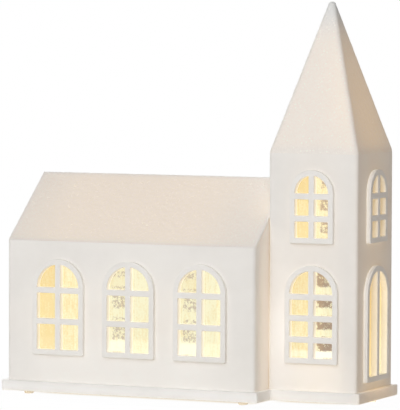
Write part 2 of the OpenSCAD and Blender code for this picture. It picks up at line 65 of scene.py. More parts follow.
Point2 = tuple[float, float]
Colour = tuple[float, float, float, float]
Profile = list[tuple[float, float, float]]
Tree = bpy.types.NodeTree
Thing = bpy.types.Object


def linear(code: str) -> Colour:
    """Turns an sRGB hex colour into linear light.

    Args:
        code: six hex digits with a leading hash.

    Returns:
        The linear colour with full opacity.
    """
    shares = [int(code[i:i + 2], 16) / 255 for i in (1, 3, 5)]
    parts = [s / 12.92 if s <= 0.04045 else ((s + 0.055) / 1.055) ** 2.4 for s in shares]
    return (parts[0], parts[1], parts[2], 1.0)


class Out(NamedTuple):
    """An output of a node, which another node's input links to."""

    node: bpy.types.Node
    name: str | int


def put(tree: Tree, kind: str, inputs: dict | None = None, **settings: object) -> bpy.types.Node:
    """Puts a node in a tree with its settings, values and links.

    Args:
        tree: the node tree to add it to.
        kind: Blender's name of the node's type, without ShaderNode in front.
        inputs: for each input, by name or position, a value, or an Out or a node's first output
            to link from.
        settings: the node's own properties.

    Returns:
        The new node.
    """
    made = tree.nodes.new("ShaderNode" + kind)
    for name, value in settings.items():
        setattr(made, name, value)
    for socket, value in (inputs or {}).items():
        if isinstance(value, bpy.types.Node):
            value = Out(value, 0)
        if isinstance(value, Out):
            tree.links.new(value.node.outputs[value.name], made.inputs[socket])
        else:
            made.inputs[socket].default_value = value
    return made


# Positions of the colour sockets of Blender's Mix node
MIX_A = 6
MIX_B = 7
MIX_RESULT = 2


class Finish:
    """What every finish shares: one material, made once under the finish's name.

    Attributes:
        name: name of the material.
    """

    name: str

    def material(self) -> bpy.types.Material:
        """Makes the finish's material the first time and finds it later.

        Returns:
            The material.
        """
        found = bpy.data.materials.get(self.name)
        if found is not None:
            return found
        made = bpy.data.materials.new(self.name)
        made.use_nodes = True
        tree = made.node_tree
        tree.nodes.clear()
        place = Out(put(tree, "TexCoord"), "Object")
        put(tree, "OutputMaterial", {"Surface": self.shader(tree, place)})
        return made

    def shader(self, tree: Tree, place: Out) -> Out:
        """Builds the finish's nodes.

        Args:
            tree: the node tree.
            place: the point on the piece.

        Returns:
            The shader output to show.
        """
        raise NotImplementedError


def clouds(tree: Tree, place: Out, dark: str, light: str, size_mm: float) -> Out:
    """Drifts between two colours over patches of a real size.

    Args:
        tree: the node tree.
        place: the point on the piece.
        dark: colour of the darker patches.
        light: colour of the lighter ones.
        size_mm: width of a patch in millimetres.

    Returns:
        The colour output.
    """
    cloud = put(tree, "TexNoise", {
        "Vector": place, "Scale": 1 / (size_mm * MM), "Detail": 4.0, "Roughness": 0.6})
    spread = put(tree, "MapRange", {"Value": cloud, "From Min": 0.3, "From Max": 0.7})
    mixed = put(tree, "Mix", {0: spread, MIX_A: linear(dark), MIX_B: linear(light)}, data_type="RGBA")
    return Out(mixed, MIX_RESULT)


def grain(tree: Tree, place: Out, size_mm: float, depth_mm: float, strength: float) -> Out:
    """Roughens the surface with a grain of a real size.

    Args:
        tree: the node tree.
        place: the point on the piece.
        size_mm: width of a grain in millimetres.
        depth_mm: depth of the grain in millimetres.
        strength: how much of the grain shows, from 0 to 1.

    Returns:
        The normal output.
    """
    grit = put(tree, "TexNoise", {
        "Vector": place, "Scale": 1 / (size_mm * MM), "Detail": 3.0, "Roughness": 0.7})
    bump = put(tree, "Bump", {"Height": grit, "Strength": strength, "Distance": depth_mm * MM})
    return Out(bump, "Normal")


@dataclass(frozen=True)
class Glow:
    """Painted light that shows on a piece as a soft spot, mostly lamp light through a thin casting.

    Attributes:
        centre: middle of the spot.
        reach: distance at which it has faded out.
        strength: emission in the middle.
        colour: colour of the light.
        stretch: how many times farther it reaches along each axis.
    """

    centre: tuple[float, float, float]
    reach: float
    strength: float
    colour: str = "#FFD9A0"
    stretch: tuple[float, float, float] = (1.0, 1.0, 1.0)


def tinted(code: str, strength: float) -> tuple[float, float, float]:
    """Returns a hex colour as linear light of some strength."""
    red, green, blue, _ = linear(code)
    return red * strength, green * strength, blue * strength


def painted_glow_spots(tree: Tree, place: Out, glows: tuple[Glow, ...],
                 base: tuple[float, float, float]) -> Out:
    """Adds the painted soft spots of light together, lamp light through thin castings among them.

    Args:
        tree: the node tree.
        place: the point on the piece.
        glows: the spots.
        base: light that is there everywhere.

    Returns:
        The output with the light's colour.
    """
    total = put(tree, "VectorMath", {0: base, 1: (0.0, 0.0, 0.0)}, operation="ADD")
    for glow in glows:
        scale = tuple(1 / s for s in glow.stretch)
        middle = tuple(c * s for c, s in zip(glow.centre, scale))
        drawn = put(tree, "VectorMath", {0: place, 1: scale}, operation="MULTIPLY")
        away = put(tree, "VectorMath", {0: drawn, 1: middle}, operation="DISTANCE")
        spot = put(tree, "MapRange", {
            "Value": Out(away, "Value"), "From Min": 0.0, "From Max": glow.reach, "To Min": 1.0,
            "To Max": 0.0}, interpolation_type="SMOOTHERSTEP")
        total = put(tree, "VectorMath", {
            0: spot, 1: tinted(glow.colour, glow.strength), 2: total}, operation="MULTIPLY_ADD")
    return Out(total, 0)


@dataclass(frozen=True)
class BisquePorcelain(Finish):
    """Slip-cast porcelain, fired once and left unglazed.

    The bare body scatters light softly, so it reads matte with hardly a highlight. It is thin
    enough for the lamps to warm it from behind, most where they are near; that warmth is painted
    light, an emission, and the glows add painted light where more falls on the outside. The
    mark named lit is 1 on surfaces that the lamps shine on, where their light is painted in too.
    Its pits are 0.1 mm across, drawn at 0.5 mm because finer ones would not show.

    Attributes:
        dark: colour of the body where it is a little denser.
        light: colour of the body elsewhere.
        glows: painted spots of lamp light through the body and of paler light on its outside.
        base_glow: painted light that comes through everywhere.
        lit_strength: emission of the surfaces that the lamps shine on.
        glow_colour: colour of the light that comes through everywhere.
        lit_colour: colour of the surfaces that the lamps shine on.
        patch_mm: width of the denser patches.
        pore_mm: width of the patches that are more or less rough.
        pit_mm: width of the pits as they are drawn.
    """

    name: str
    dark: str
    light: str
    glows: tuple[Glow, ...] = ()
    base_glow: float = 0.1
    lit_strength: float = 0.9
    glow_colour: str = "#FFB830"
    lit_colour: str = "#FFE0A4"
    patch_mm: float = 24
    pore_mm: float = 3
    pit_mm: float = 0.5

    def shader(self, tree: Tree, place: Out) -> Out:
        """Builds the bisque's nodes.

        Args:
            tree: the node tree.
            place: the point on the piece.

        Returns:
            The shader.
        """
        mark = put(tree, "Attribute", attribute_name="lit")
        lit = Out(mark, "Fac")
        through = painted_glow_spots(tree, place, self.glows, tinted(self.glow_colour, self.base_glow))
        shone = put(tree, "VectorMath", {
            0: lit, 1: tinted(self.lit_colour, self.lit_strength), 2: through},
            operation="MULTIPLY_ADD")
        porous = put(tree, "TexNoise", {"Vector": place, "Scale": 1 / (self.pore_mm * MM), "Detail": 2.0})
        rough = put(tree, "MapRange", {"Value": porous, "To Min": 0.62, "To Max": 0.78})
        body = put(tree, "BsdfPrincipled", {
            "Base Color": clouds(tree, place, self.dark, self.light, self.patch_mm), "Roughness": rough,
            "Specular IOR Level": 0.35,
            "Normal": grain(tree, place, self.pit_mm, depth_mm=0.06, strength=0.25),
            "Emission Color": shone, "Emission Strength": 1.0})
        return Out(body, 0)


@dataclass(frozen=True)
class SugarSnow(Finish):
    """Crushed quartz grit, glued over bisque while wet and left to set.

    The grit breaks the light up, so the coat reads warm and grainy, with single grains that
    catch it; those are also painted paler, a painted glint beside their real gloss. The grains
    are 0.3 mm across, drawn at 0.8 mm because finer ones would not show. The lamps' warmth
    through the casting is painted light, an emission; the mark named through is 1 where the
    casting is thin enough for the lamps to warm it fully.

    Attributes:
        dark: colour between the grains.
        light: colour of the grains' tops.
        spark: colour of the grains that catch the light, painted paler as a painted glint.
        glows: painted spots where lamp light comes through.
        base_glow: painted light that comes through everywhere.
        glow_colour: colour of that light.
        grain_mm: width of a grain as it is drawn.
        lump_mm: width of the patches of more or less dense grit.
        spark_share: share of the grains that catch the light.
    """

    name: str
    dark: str
    light: str
    spark: str
    glows: tuple[Glow, ...] = ()
    base_glow: float = 0.11
    glow_colour: str = "#FFB830"
    grain_mm: float = 0.8
    lump_mm: float = 1.3
    spark_share: float = 0.025

    def shader(self, tree: Tree, place: Out) -> Out:
        """Builds the coat's nodes.

        Args:
            tree: the node tree.
            place: the point on the piece.

        Returns:
            The shader.
        """
        # A few grains are painted paler, a painted glint, and made glossier
        grains = put(tree, "TexVoronoi", {"Vector": place, "Scale": 1 / (self.grain_mm * MM)})
        bright = put(tree, "SeparateColor", {0: Out(grains, "Color")})
        chosen = put(tree, "Math", {0: bright, 1: 1 - self.spark_share}, operation="GREATER_THAN")
        grit = clouds(tree, place, self.dark, self.light, self.lump_mm)
        body = put(tree, "Mix", {0: chosen, MIX_A: grit, MIX_B: linear(self.spark)}, data_type="RGBA")
        rough = put(tree, "MapRange", {"Value": chosen, "To Min": 0.75, "To Max": 0.35})
        coarse = grain(tree, place, self.grain_mm, depth_mm=0.2, strength=0.3)
        thin = Out(put(tree, "Attribute", attribute_name="through"), "Fac")
        light = painted_glow_spots(tree, place, self.glows, tinted(self.glow_colour, self.base_glow))
        warmed = put(tree, "VectorMath", {0: light, "Scale": thin}, operation="SCALE")
        shader = put(tree, "BsdfPrincipled", {
            "Base Color": Out(body, MIX_RESULT), "Roughness": rough, "Normal": coarse,
            "Specular IOR Level": 0.5, "Emission Color": warmed, "Emission Strength": 1.0})
        return Out(shader, 0)


@dataclass(frozen=True)
class EmbossedFilm(Finish):
    """Clear PET film, embossed with pebbles by a roller.

    The pebbles gather the lamp light into a fine warm shimmer and let a part of the view
    through. The light that it gives from the walls and lamps behind it is painted light, an
    emission. The mark named warm is 1 where the film sees only warm walls behind it, hot is 1
    where it sees a lamp, shade is 1 where it sees only deep amber walls, and dim is 1 where it
    shows a painted shade, the unlit outside as seen through the far windows, painted in fixed
    places; power is the share of the light that reaches it. The pebbles are 1.3 mm across.

    Attributes:
        pale: colour where the film sees the brightest walls.
        warm: colour where it sees only warm walls.
        amber: colour where it sees only deep amber walls.
        hot: colour where it sees a lamp.
        dim: painted colour where it shows the unlit outside clearly.
        faint: painted colour where it shows the outside only faintly.
        clear: colour that it gives to what is seen straight through it.
        body: colour of the film itself.
        pebble_mm: width of a pebble.
        streak_mm: width of the streaks that the roller left, which are five times as long.
        fleck_mm: width of the flecks into which the pebbles break the view.
        strength: emission of the film.
        hot_strength: how much it gains where it sees a lamp.
        warmth: how far the shimmer moves the film between pale and warm.
        fleck_level: noise under which a fleck of the unlit outside shows, first faintly, then fully.
        spread: how far that level moves where the outside is seen clearly.
        see_through: share of the view that passes straight through.
    """

    name: str = "pet_film_embossed"
    pale: str = "#FFFFE0"
    warm: str = "#F3E1AA"
    amber: str = "#FCD68C"
    hot: str = "#FFFDF2"
    dim: str = "#9A857A"
    faint: str = "#94799A"
    clear: str = "#FFF6DC"
    body: str = "#5C5548"
    pebble_mm: float = 1.3
    streak_mm: float = 1.6
    fleck_mm: float = 2.2
    strength: float = 0.85
    hot_strength: float = 0.18
    warmth: float = 0.4
    fleck_level: tuple[float, float] = (0.46, 0.4)
    spread: float = 0.14
    see_through: float = 0.22

    def shader(self, tree: Tree, place: Out) -> Out:
        """Builds the film's nodes.

        Args:
            tree: the node tree.
            place: the point on the piece.

        Returns:
            The shader.
        """
        marks = {mark: Out(put(tree, "Attribute", attribute_name=mark), "Fac")
                 for mark in ("warm", "hot", "dim", "shade", "power")}
        pebbles = put(tree, "TexVoronoi", {
            "Vector": place, "Scale": 1 / (self.pebble_mm * MM)}, feature="SMOOTH_F1")
        drawn = put(tree, "Mapping", {"Vector": place, "Scale": (1.0, 1.0, 0.2)})
        streaks = put(tree, "TexNoise", {
            "Vector": drawn, "Scale": 1 / (self.streak_mm * MM), "Detail": 4.0})
        shimmer = put(tree, "Math", {
            0: Out(pebbles, "Distance"), 1: 0.5, 2: streaks}, operation="MULTIPLY_ADD")
        warmth = put(tree, "MapRange", {
            "Value": shimmer, "From Min": 0.5, "From Max": 0.95, "To Min": -self.warmth,
            "To Max": self.warmth})
        warmed = put(tree, "Math", {0: marks["warm"], 1: warmth}, operation="ADD", use_clamp=True)
        base = put(tree, "Mix", {
            0: warmed, MIX_A: linear(self.pale), MIX_B: linear(self.warm)}, data_type="RGBA")
        deeper = put(tree, "Mix", {
            0: marks["shade"], MIX_A: Out(base, MIX_RESULT), MIX_B: linear(self.amber)},
            data_type="RGBA")
        heated = put(tree, "Mix", {
            0: marks["hot"], MIX_A: Out(deeper, MIX_RESULT), MIX_B: linear(self.hot)}, data_type="RGBA")
        # Painted shade in flecks where the dim mark is: the unlit outside seen through the far windows
        broken = put(tree, "TexNoise", {
            "Vector": place, "Scale": 1 / (self.fleck_mm * MM), "Detail": 5.0, "Roughness": 0.8})
        moved = put(tree, "Math", {0: marks["dim"], 1: -self.spread, 2: broken}, operation="MULTIPLY_ADD")
        flecks = put(tree, "MapRange", {
            "Value": moved, "From Min": self.fleck_level[0], "From Max": self.fleck_level[1]})
        edge = put(tree, "MapRange", {"Value": marks["dim"], "From Max": 0.3})
        clearness = put(tree, "MapRange", {"Value": marks["dim"], "To Min": 0.3})
        shown = put(tree, "Math", {0: edge, 1: clearness}, operation="MULTIPLY")
        dimmed = put(tree, "Math", {0: shown, 1: flecks}, operation="MULTIPLY", use_clamp=True)
        outside = put(tree, "Mix", {
            0: marks["dim"], MIX_A: linear(self.faint), MIX_B: linear(self.dim)}, data_type="RGBA")
        seen = put(tree, "Mix", {
            0: dimmed, MIX_A: Out(heated, MIX_RESULT), MIX_B: Out(outside, MIX_RESULT)},
            data_type="RGBA")
        relief = put(tree, "Bump", {"Height": shimmer, "Strength": 0.35, "Distance": 0.15 * MM})
        drive = put(tree, "Math", {0: marks["power"], 1: self.strength}, operation="MULTIPLY")
        level = put(tree, "Math", {
            0: marks["hot"], 1: self.hot_strength, 2: drive}, operation="MULTIPLY_ADD")
        sheet = put(tree, "BsdfPrincipled", {
            "Base Color": linear(self.body), "Roughness": 0.35, "Specular IOR Level": 0.2,
            "Normal": relief, "Emission Color": Out(seen, MIX_RESULT), "Emission Strength": level})
        clear = put(tree, "BsdfTransparent", {"Color": linear(self.clear)})
        both = put(tree, "MixShader", {0: self.see_through, 1: sheet, 2: clear})
        return Out(both, 0)


@dataclass(frozen=True)
class MouldedPlastic(Finish):
    """ABS moulded in a spark-eroded mould, or PVC extruded round a wire.

    The fine pitting gives an even satin with no gloss spots. The pits are 0.1 mm across, drawn at
    0.4 mm because finer ones would not show.

    Attributes:
        dark: colour in the faint flow marks.
        light: colour elsewhere.
        roughness: how matte the skin is.
    """

    name: str
    dark: str
    light: str
    roughness: float = 0.5

    def shader(self, tree: Tree, place: Out) -> Out:
        """Builds the plastic's nodes.

        Args:
            tree: the node tree.
            place: the point on the piece.

        Returns:
            The shader.
        """
        skin = put(tree, "BsdfPrincipled", {
            "Base Color": clouds(tree, place, self.dark, self.light, size_mm=18),
            "Roughness": self.roughness,
            "Normal": grain(tree, place, size_mm=0.4, depth_mm=0.03, strength=0.3)})
        return Out(skin, 0)


@dataclass(frozen=True)
class CastPolyurethane(Finish):
    """Clear polyurethane, cast into bumper domes.

    Soft and clear, it takes on the warm light that leaks round the trays, and the white of the
    table where it stands in the light of the door; both are painted light, an emission.

    Attributes:
        dark: colour of the faint clouds in the resin.
        light: colour elsewhere.
        leak: colour of the light that leaks round the trays.
        leak_strength: emission that it gives.
        glows: painted spots where more light comes through.
    """

    name: str = "polyurethane_cast_clear"
    dark: str = "#F1EADA"
    light: str = "#FBF7EC"
    leak: str = "#FFE9C4"
    leak_strength: float = 0.09
    glows: tuple[Glow, ...] = (Glow((0.130, 0.0, 0.0), 0.02, 0.3, "#FFFFFF"),)

    def shader(self, tree: Tree, place: Out) -> Out:
        """Builds the polyurethane's nodes.

        Args:
            tree: the node tree.
            place: the point on the piece.

        Returns:
            The shader.
        """
        light = painted_glow_spots(tree, place, self.glows, tinted(self.leak, self.leak_strength))
        dome = put(tree, "BsdfPrincipled", {
            "Base Color": clouds(tree, place, self.dark, self.light, size_mm=3), "Roughness": 0.2,
            "IOR": 1.5, "Transmission Weight": 0.3,
            "Normal": grain(tree, place, size_mm=1.0, depth_mm=0.02, strength=0.2),
            "Emission Color": light, "Emission Strength": 1.0})
        return Out(dome, 0)


@dataclass(frozen=True)
class PlatedSteel(Finish):
    """Spring or sheet steel with a bright nickel plate, drawn or stamped.

    The plate is a metal with fine draw marks, a little duller where it was handled. The marks
    are under 0.1 mm wide, drawn at 0.3 mm because finer ones would not show.

    Attributes:
        colour: colour of the plate.
        handled: colour where it was handled.
        roughness: how satin the plate is.
    """

    name: str = "steel_nickel_plated"
    colour: str = "#C9C7C2"
    handled: str = "#B9B7B1"
    roughness: float = 0.28

    def shader(self, tree: Tree, place: Out) -> Out:
        """Builds the plate's nodes.

        Args:
            tree: the node tree.
            place: the point on the piece.

        Returns:
            The shader.
        """
        marks = put(tree, "TexNoise", {"Vector": place, "Scale": 1 / (1.5 * MM), "Detail": 4.0})
        rough = put(tree, "MapRange", {
            "Value": marks, "To Min": self.roughness - 0.08, "To Max": self.roughness + 0.12})
        plate = put(tree, "BsdfPrincipled", {
            "Base Color": clouds(tree, place, self.handled, self.colour, size_mm=4), "Metallic": 1.0,
            "Roughness": rough, "Normal": grain(tree, place, size_mm=0.3, depth_mm=0.01, strength=0.2)})
        return Out(plate, 0)


@dataclass(frozen=True)
class CellSleeve(Finish):
    """PVC sleeve, shrunk over a steel can and printed plain.

    A dull brass-coloured body with a dark band at one end, glossy and slightly wavy.

    Attributes:
        band_from: X of the band's edge, where the sleeve turns dark.
        band: colour of the band.
    """

    band_from: float
    name: str = "pvc_shrink_sleeve"
    band: str = "#2C2B2A"

    def shader(self, tree: Tree, place: Out) -> Out:
        """Builds the sleeve's nodes.

        Args:
            tree: the node tree.
            place: the point on the piece.

        Returns:
            The shader.
        """
        along = put(tree, "SeparateXYZ", {0: place})
        dark = put(tree, "Math", {0: Out(along, "X"), 1: self.band_from}, operation="GREATER_THAN")
        brass = clouds(tree, place, "#B39B4C", "#C2AC5E", size_mm=9)
        print_colour = put(tree, "Mix", {
            0: dark, MIX_A: brass, MIX_B: linear(self.band)}, data_type="RGBA")
        sleeve = put(tree, "BsdfPrincipled", {
            "Base Color": Out(print_colour, MIX_RESULT), "Roughness": 0.3,
            "Normal": grain(tree, place, size_mm=6.0, depth_mm=0.08, strength=0.3)})
        return Out(sleeve, 0)


@dataclass(frozen=True)
class SolderMask(Finish):
    """White solder mask, screen-printed over copper tracks on glass epoxy.

    The tracks stand a hair proud and read as a slightly darker weave under the mask.

    Attributes:
        track_mm: length of the fields between the tracks.
    """

    name: str = "glass_epoxy_white_mask"
    track_mm: float = 8

    def shader(self, tree: Tree, place: Out) -> Out:
        """Builds the mask's nodes.

        Args:
            tree: the node tree.
            place: the point on the piece.

        Returns:
            The shader.
        """
        tracks = put(tree, "TexBrick", {
            "Vector": place, "Scale": 1 / (self.track_mm * MM), "Mortar Size": 0.03,
            "Color1": linear("#E6E9E3"), "Color2": linear("#E2E6DF"), "Mortar": linear("#C9D2C4")})
        raised = put(tree, "Bump", {"Height": Out(tracks, "Fac"), "Strength": 0.4, "Distance": 0.05 * MM})
        mask = put(tree, "BsdfPrincipled", {
            "Base Color": Out(tracks, "Color"), "Roughness": 0.4, "Normal": raised})
        return Out(mask, 0)


@dataclass(frozen=True)
class LampEpoxy(Finish):
    """Diffusing epoxy, cast round the chip of a warm white lamp.

    It glows evenly, with faint clouds of the powder that scatters the light.

    Attributes:
        glow: colour of its light.
        glow_strength: emission that it gives.
    """

    name: str = "epoxy_lamp_lens"
    glow: str = "#FFE6B0"
    glow_strength: float = 2.5

    def shader(self, tree: Tree, place: Out) -> Out:
        """Builds the lens's nodes.

        Args:
            tree: the node tree.
            place: the point on the piece.

        Returns:
            The shader.
        """
        lens = put(tree, "BsdfPrincipled", {
            "Base Color": clouds(tree, place, "#FFE9BE", "#FFF6E0", size_mm=2), "Roughness": 0.25,
            "Normal": grain(tree, place, size_mm=1.5, depth_mm=0.02, strength=0.2),
            "Emission Color": linear(self.glow), "Emission Strength": self.glow_strength})
        return Out(lens, 0)


class Facing(Enum):
    """Which way the outside of a face looks."""

    FRONT = "front"
    BACK = "back"
    EAST = "east"
    UP = "up"


FACING_AXES = {
    Facing.FRONT: (Vector((1, 0, 0)), Vector((0, 0, 1)), Vector((0, -1, 0))),
    Facing.BACK: (Vector((-1, 0, 0)), Vector((0, 0, 1)), Vector((0, 1, 0))),
    Facing.EAST: (Vector((0, 1, 0)), Vector((0, 0, 1)), Vector((1, 0, 0))),
    Facing.UP: (Vector((1, 0, 0)), Vector((0, 1, 0)), Vector((0, 0, 1))),
}


@dataclass(frozen=True)
class Plane:
    """A face of the building that outlines are drawn on.

    Attributes:
        facing: which way the face looks.
        origin: where the drawing's own zero lies.
    """

    facing: Facing
    origin: Vector

    def point(self, u: float, v: float, w: float = 0.0) -> Vector:
        """Returns the place u across, v up and w out from the drawing's zero."""
        across, up, out = FACING_AXES[self.facing]
        return self.origin + across * u + up * v + out * w


def arc(centre: Point2, radius: float, start: float, end: float, steps: int) -> list[Point2]:
    """Draws an arc.

    Args:
        centre: middle of the circle.
        radius: its radius.
        start: first angle in radians.
        end: last angle in radians.
        steps: number of chords.

    Returns:
        The points, both ends included.
    """
    angles = [start + (end - start) * k / steps for k in range(steps + 1)]
    return [(centre[0] + radius * math.cos(a), centre[1] + radius * math.sin(a)) for a in angles]


def ease(share: float) -> float:
    """Returns a share from 0 to 1 with a soft start and end."""
    t = max(0.0, min(1.0, share))
    return t * t * (3 - 2 * t)


# Corners that turn less than this stay as they are, and a round takes up this share of a side
SHARP_TURN = math.radians(25)
SIDE_SHARE = 0.45


def rounded(points: list[Point2], radius: float, steps: int = 4) -> list[Point2]:
    """Rounds the sharp corners of a closed outline.

    Args:
        points: the outline.
        radius: radius of each corner, less where its sides are short.
        steps: chords in each corner.

    Returns:
        The outline with round corners.
    """
    made: list[Point2] = []
    for k, here in enumerate(points):
        p, q, r = (Vector(c) for c in (points[k - 1], here, points[(k + 1) % len(points)]))
        before, after = q - p, r - q
        turn = before.angle_signed(after)
        if abs(turn) < SHARP_TURN:
            made.append(here)
            continue
        reach = min(radius * math.tan(abs(turn) / 2), SIDE_SHARE * before.length,
                    SIDE_SHARE * after.length)
        first, last = q - before.normalized() * reach, q + after.normalized() * reach
        for j in range(steps + 1):
            t = j / steps
            spot = first * (1 - t) ** 2 + q * (2 * t * (1 - t)) + last * t ** 2
            made.append((spot.x, spot.y))
    return made


def grown(points: list[Point2], by: float) -> list[Point2]:
    """Moves a closed outline that runs anticlockwise outward, or inward for a negative distance.

    Args:
        points: the outline.
        by: the distance.

    Returns:
        The moved outline, point for point.
    """
    sharpest = 0.2
    made: list[Point2] = []
    for k, here in enumerate(points):
        before = Vector(here) - Vector(points[k - 1])
        after = Vector(points[(k + 1) % len(points)]) - Vector(here)
        one = Vector((before.y, -before.x)).normalized()
        two = Vector((after.y, -after.x)).normalized()
        shift = (one + two) * (by / max(1 + one.dot(two), sharpest))
        made.append((here[0] + shift.x, here[1] + shift.y))
    return made


@dataclass(frozen=True)
class Arch:
    """Round-headed outline over a flat foot, with its zero in the middle of the foot.

    Attributes:
        width: width over the outside.
        height: height over the outside.
        foot_r: radius of the two corners of the foot.
        least_r: smallest radius that they keep when the arch is drawn in.
        foot_steps: chords in each of them.
    """

    width: float
    height: float
    foot_r: float = 1.2 * MM
    least_r: float = 0.3 * MM
    foot_steps: int = 5

    @property
    def spring(self) -> float:
        """Height at which the round head starts."""
        return self.height - self.width / 2

    def outline(self, inset: float = 0.0, steps: int = 32) -> list[Point2]:
        """Draws the arch anticlockwise, drawn in by inset.

        Args:
            inset: distance from the outside.
            steps: chords in the round head.

        Returns:
            The outline.
        """
        half = self.width / 2 - inset
        r = max(self.foot_r - inset, self.least_r)
        right = arc((half - r, inset + r), r, -math.pi / 2, 0, self.foot_steps)
        head = arc((0.0, self.spring), half, 0, math.pi, steps)
        left = arc((-half + r, inset + r), r, math.pi, 1.5 * math.pi, self.foot_steps)
        return right + head + left

    def head_at(self, u: float, inset: float = 0.0) -> float:
        """Returns the height of the arch over a place u across it."""
        half = self.width / 2 - inset
        return self.spring + math.sqrt(max(half * half - u * u, 0.0))


class MeshDraft:
    """A mesh in the making: points with their marks, and faces with their finish."""

    def __init__(self, *marks: str) -> None:
        """Starts an empty draft.

        Args:
            marks: names of the numbers that each point carries for its finish.
        """
        self.points: list[Vector] = []
        self.faces: list[tuple[int, ...]] = []
        self.finish_of: list[int] = []
        self.marks: dict[str, list[float]] = {mark: [] for mark in marks}

    def add(self, point: Vector, **marks: float) -> int:
        """Adds a point.

        Args:
            point: its place.
            marks: its marks by name, 0 where one is left out.

        Returns:
            Its number.
        """
        self.points.append(point)
        for mark, values in self.marks.items():
            values.append(marks.get(mark, 0.0))
        return len(self.points) - 1

    def ring(self, points: list[Vector], **marks: float) -> list[int]:
        """Adds a row of points that share their marks and returns their numbers."""
        return [self.add(point, **marks) for point in points]

    def face(self, corners: tuple[int, ...], finish: int = 0) -> None:
        """Adds a face with one of the piece's finishes."""
        self.faces.append(corners)
        self.finish_of.append(finish)

    def bridge(self, one: list[int], two: list[int], finish: int = 0, closed: bool = True) -> None:
        """Joins two rows of as many points with a strip of faces.

        Args:
            one: first row.
            two: second row.
            finish: which finish the strip has.
            closed: whether the rows run round to their start.
        """
        count = len(one)
        for k in range(count if closed else count - 1):
            nxt = (k + 1) % count
            self.face((one[k], one[nxt], two[nxt], two[k]), finish)

    def cap(self, rings: list[list[int]], finish: int = 0) -> None:
        """Fills a flat face inside the first ring and outside the others.

        Args:
            rings: the outer ring, then the holes.
            finish: which finish the face has.
        """
        flat = [n for ring in rings for n in ring]
        for corners in tessellate_polygon([[self.points[n] for n in ring] for ring in rings]):
            self.face(tuple(flat[c] for c in corners), finish)

    def piece(self, name: str, finishes: list[Finish], smooth_below: float = 40.0) -> Thing:
        """Makes the object.

        Args:
            name: name of the piece.
            finishes: its finishes, in the order that the faces count them.
            smooth_below: faces that meet at a smaller angle in degrees shade as one.

        Returns:
            The new object, linked to the scene.
        """
        mesh = bpy.data.meshes.new(name)
        mesh.from_pydata([tuple(p) for p in self.points], [], self.faces)
        mesh.polygons.foreach_set("material_index", self.finish_of)
        for mark, values in self.marks.items():
            mesh.attributes.new(mark, "FLOAT", "POINT").data.foreach_set("value", values)
        shape = bmesh.new()
        shape.from_mesh(mesh)
        bmesh.ops.recalc_face_normals(shape, faces=shape.faces)
        shape.to_mesh(mesh)
        shape.free()
        for finish in finishes:
            mesh.materials.append(finish.material())
        mesh.shade_smooth()
        mesh.set_sharp_from_angle(angle=math.radians(smooth_below))
        made = bpy.data.objects.new(name, mesh)
        bpy.context.scene.collection.objects.link(made)
        return made


def plate(draft: MeshDraft, plane: Plane, outline: list[Point2], holes: list[list[Point2]],
          sides: Profile, reveals: Profile) -> None:
    """Adds a closed plate with holes and shaped edges to a draft.

    Args:
        draft: the draft, whose points carry the mark named lit.
        plane: the face that the plate lies on.
        outline: its outside, anticlockwise.
        holes: its holes, each anticlockwise.
        sides: from the outer face inward, how far the outside is drawn in, how far out it lies
            and how much the lamps shine on it.
        reveals: from the outer face inward, how much wider each hole is, how far out it lies and
            how much the lamps shine on it.
    """
    outer = [draft.ring([plane.point(u, v, out) for u, v in grown(outline, -inset)], lit=lit)
             for inset, out, lit in sides]
    inner = [[draft.ring([plane.point(u, v, out) for u, v in grown(hole, wider)], lit=lit)
              for wider, out, lit in reveals] for hole in holes]
    for rows in [outer, *inner]:
        for one, two in zip(rows, rows[1:]):
            draft.bridge(one, two)
    draft.cap([outer[0], *[rows[0] for rows in inner]])
    draft.cap([outer[-1], *[rows[-1] for rows in inner]])


def edge_round(radius: float, out: float, steps: int = 3) -> Profile:
    """Draws the profile of a rounded edge from the outer face inward, in shade.

    Args:
        radius: radius of the edge.
        out: how far out the face lies.
        steps: chords in the edge.

    Returns:
        How far each point is drawn in, how far out it lies, and that no lamp shines on it.
    """
    turns = [math.pi / 2 * k / steps for k in range(steps + 1)]
    return [(radius * (1 - math.sin(a)), out - radius * (1 - math.cos(a)), 0.0) for a in turns]


def carve(body: Thing, away: list[Thing]) -> None:
    """Cuts closed shapes out of a closed body and keeps the result as its mesh.

    Args:
        body: the body.
        away: the shapes to take away, which are removed afterwards.
    """
    for shape in away:
        cut = body.modifiers.new("cut", "BOOLEAN")
        cut.operation = "DIFFERENCE"
        cut.object = shape
        cut.solver = "EXACT"
    graph = bpy.context.evaluated_depsgraph_get()
    result = bpy.data.meshes.new_from_object(body.evaluated_get(graph))
    body.modifiers.clear()
    old = body.data
    body.data = result
    bpy.data.meshes.remove(old)
    for shape in away:
        mesh = shape.data
        bpy.data.objects.remove(shape)
        bpy.data.meshes.remove(mesh)


def even_flats(piece: Thing) -> None:
    """Keeps large flat faces flat in shading beside small rounded ones.

    Args:
        piece: the piece.
    """
    normals = piece.modifiers.new("even_flats", "WEIGHTED_NORMAL")
    normals.keep_sharp = True
    normals.weight = 80


def mark_lit(mesh: bpy.types.Mesh, lo: Vector, hi: Vector) -> None:
    """Marks the points that lie on or inside a box as shone on by the lamps.

    Args:
        mesh: the casting's mesh.
        lo: lowest corner of the room inside.
        hi: highest corner of it.
    """
    slack = 0.05 * MM
    shone = [1.0 if all(a - slack <= c <= b + slack for a, b, c in zip(lo, hi, v.co)) else 0.0
             for v in mesh.vertices]
    found = mesh.attributes.get("lit") or mesh.attributes.new("lit", "FLOAT", "POINT")
    found.data.foreach_set("value", shone)


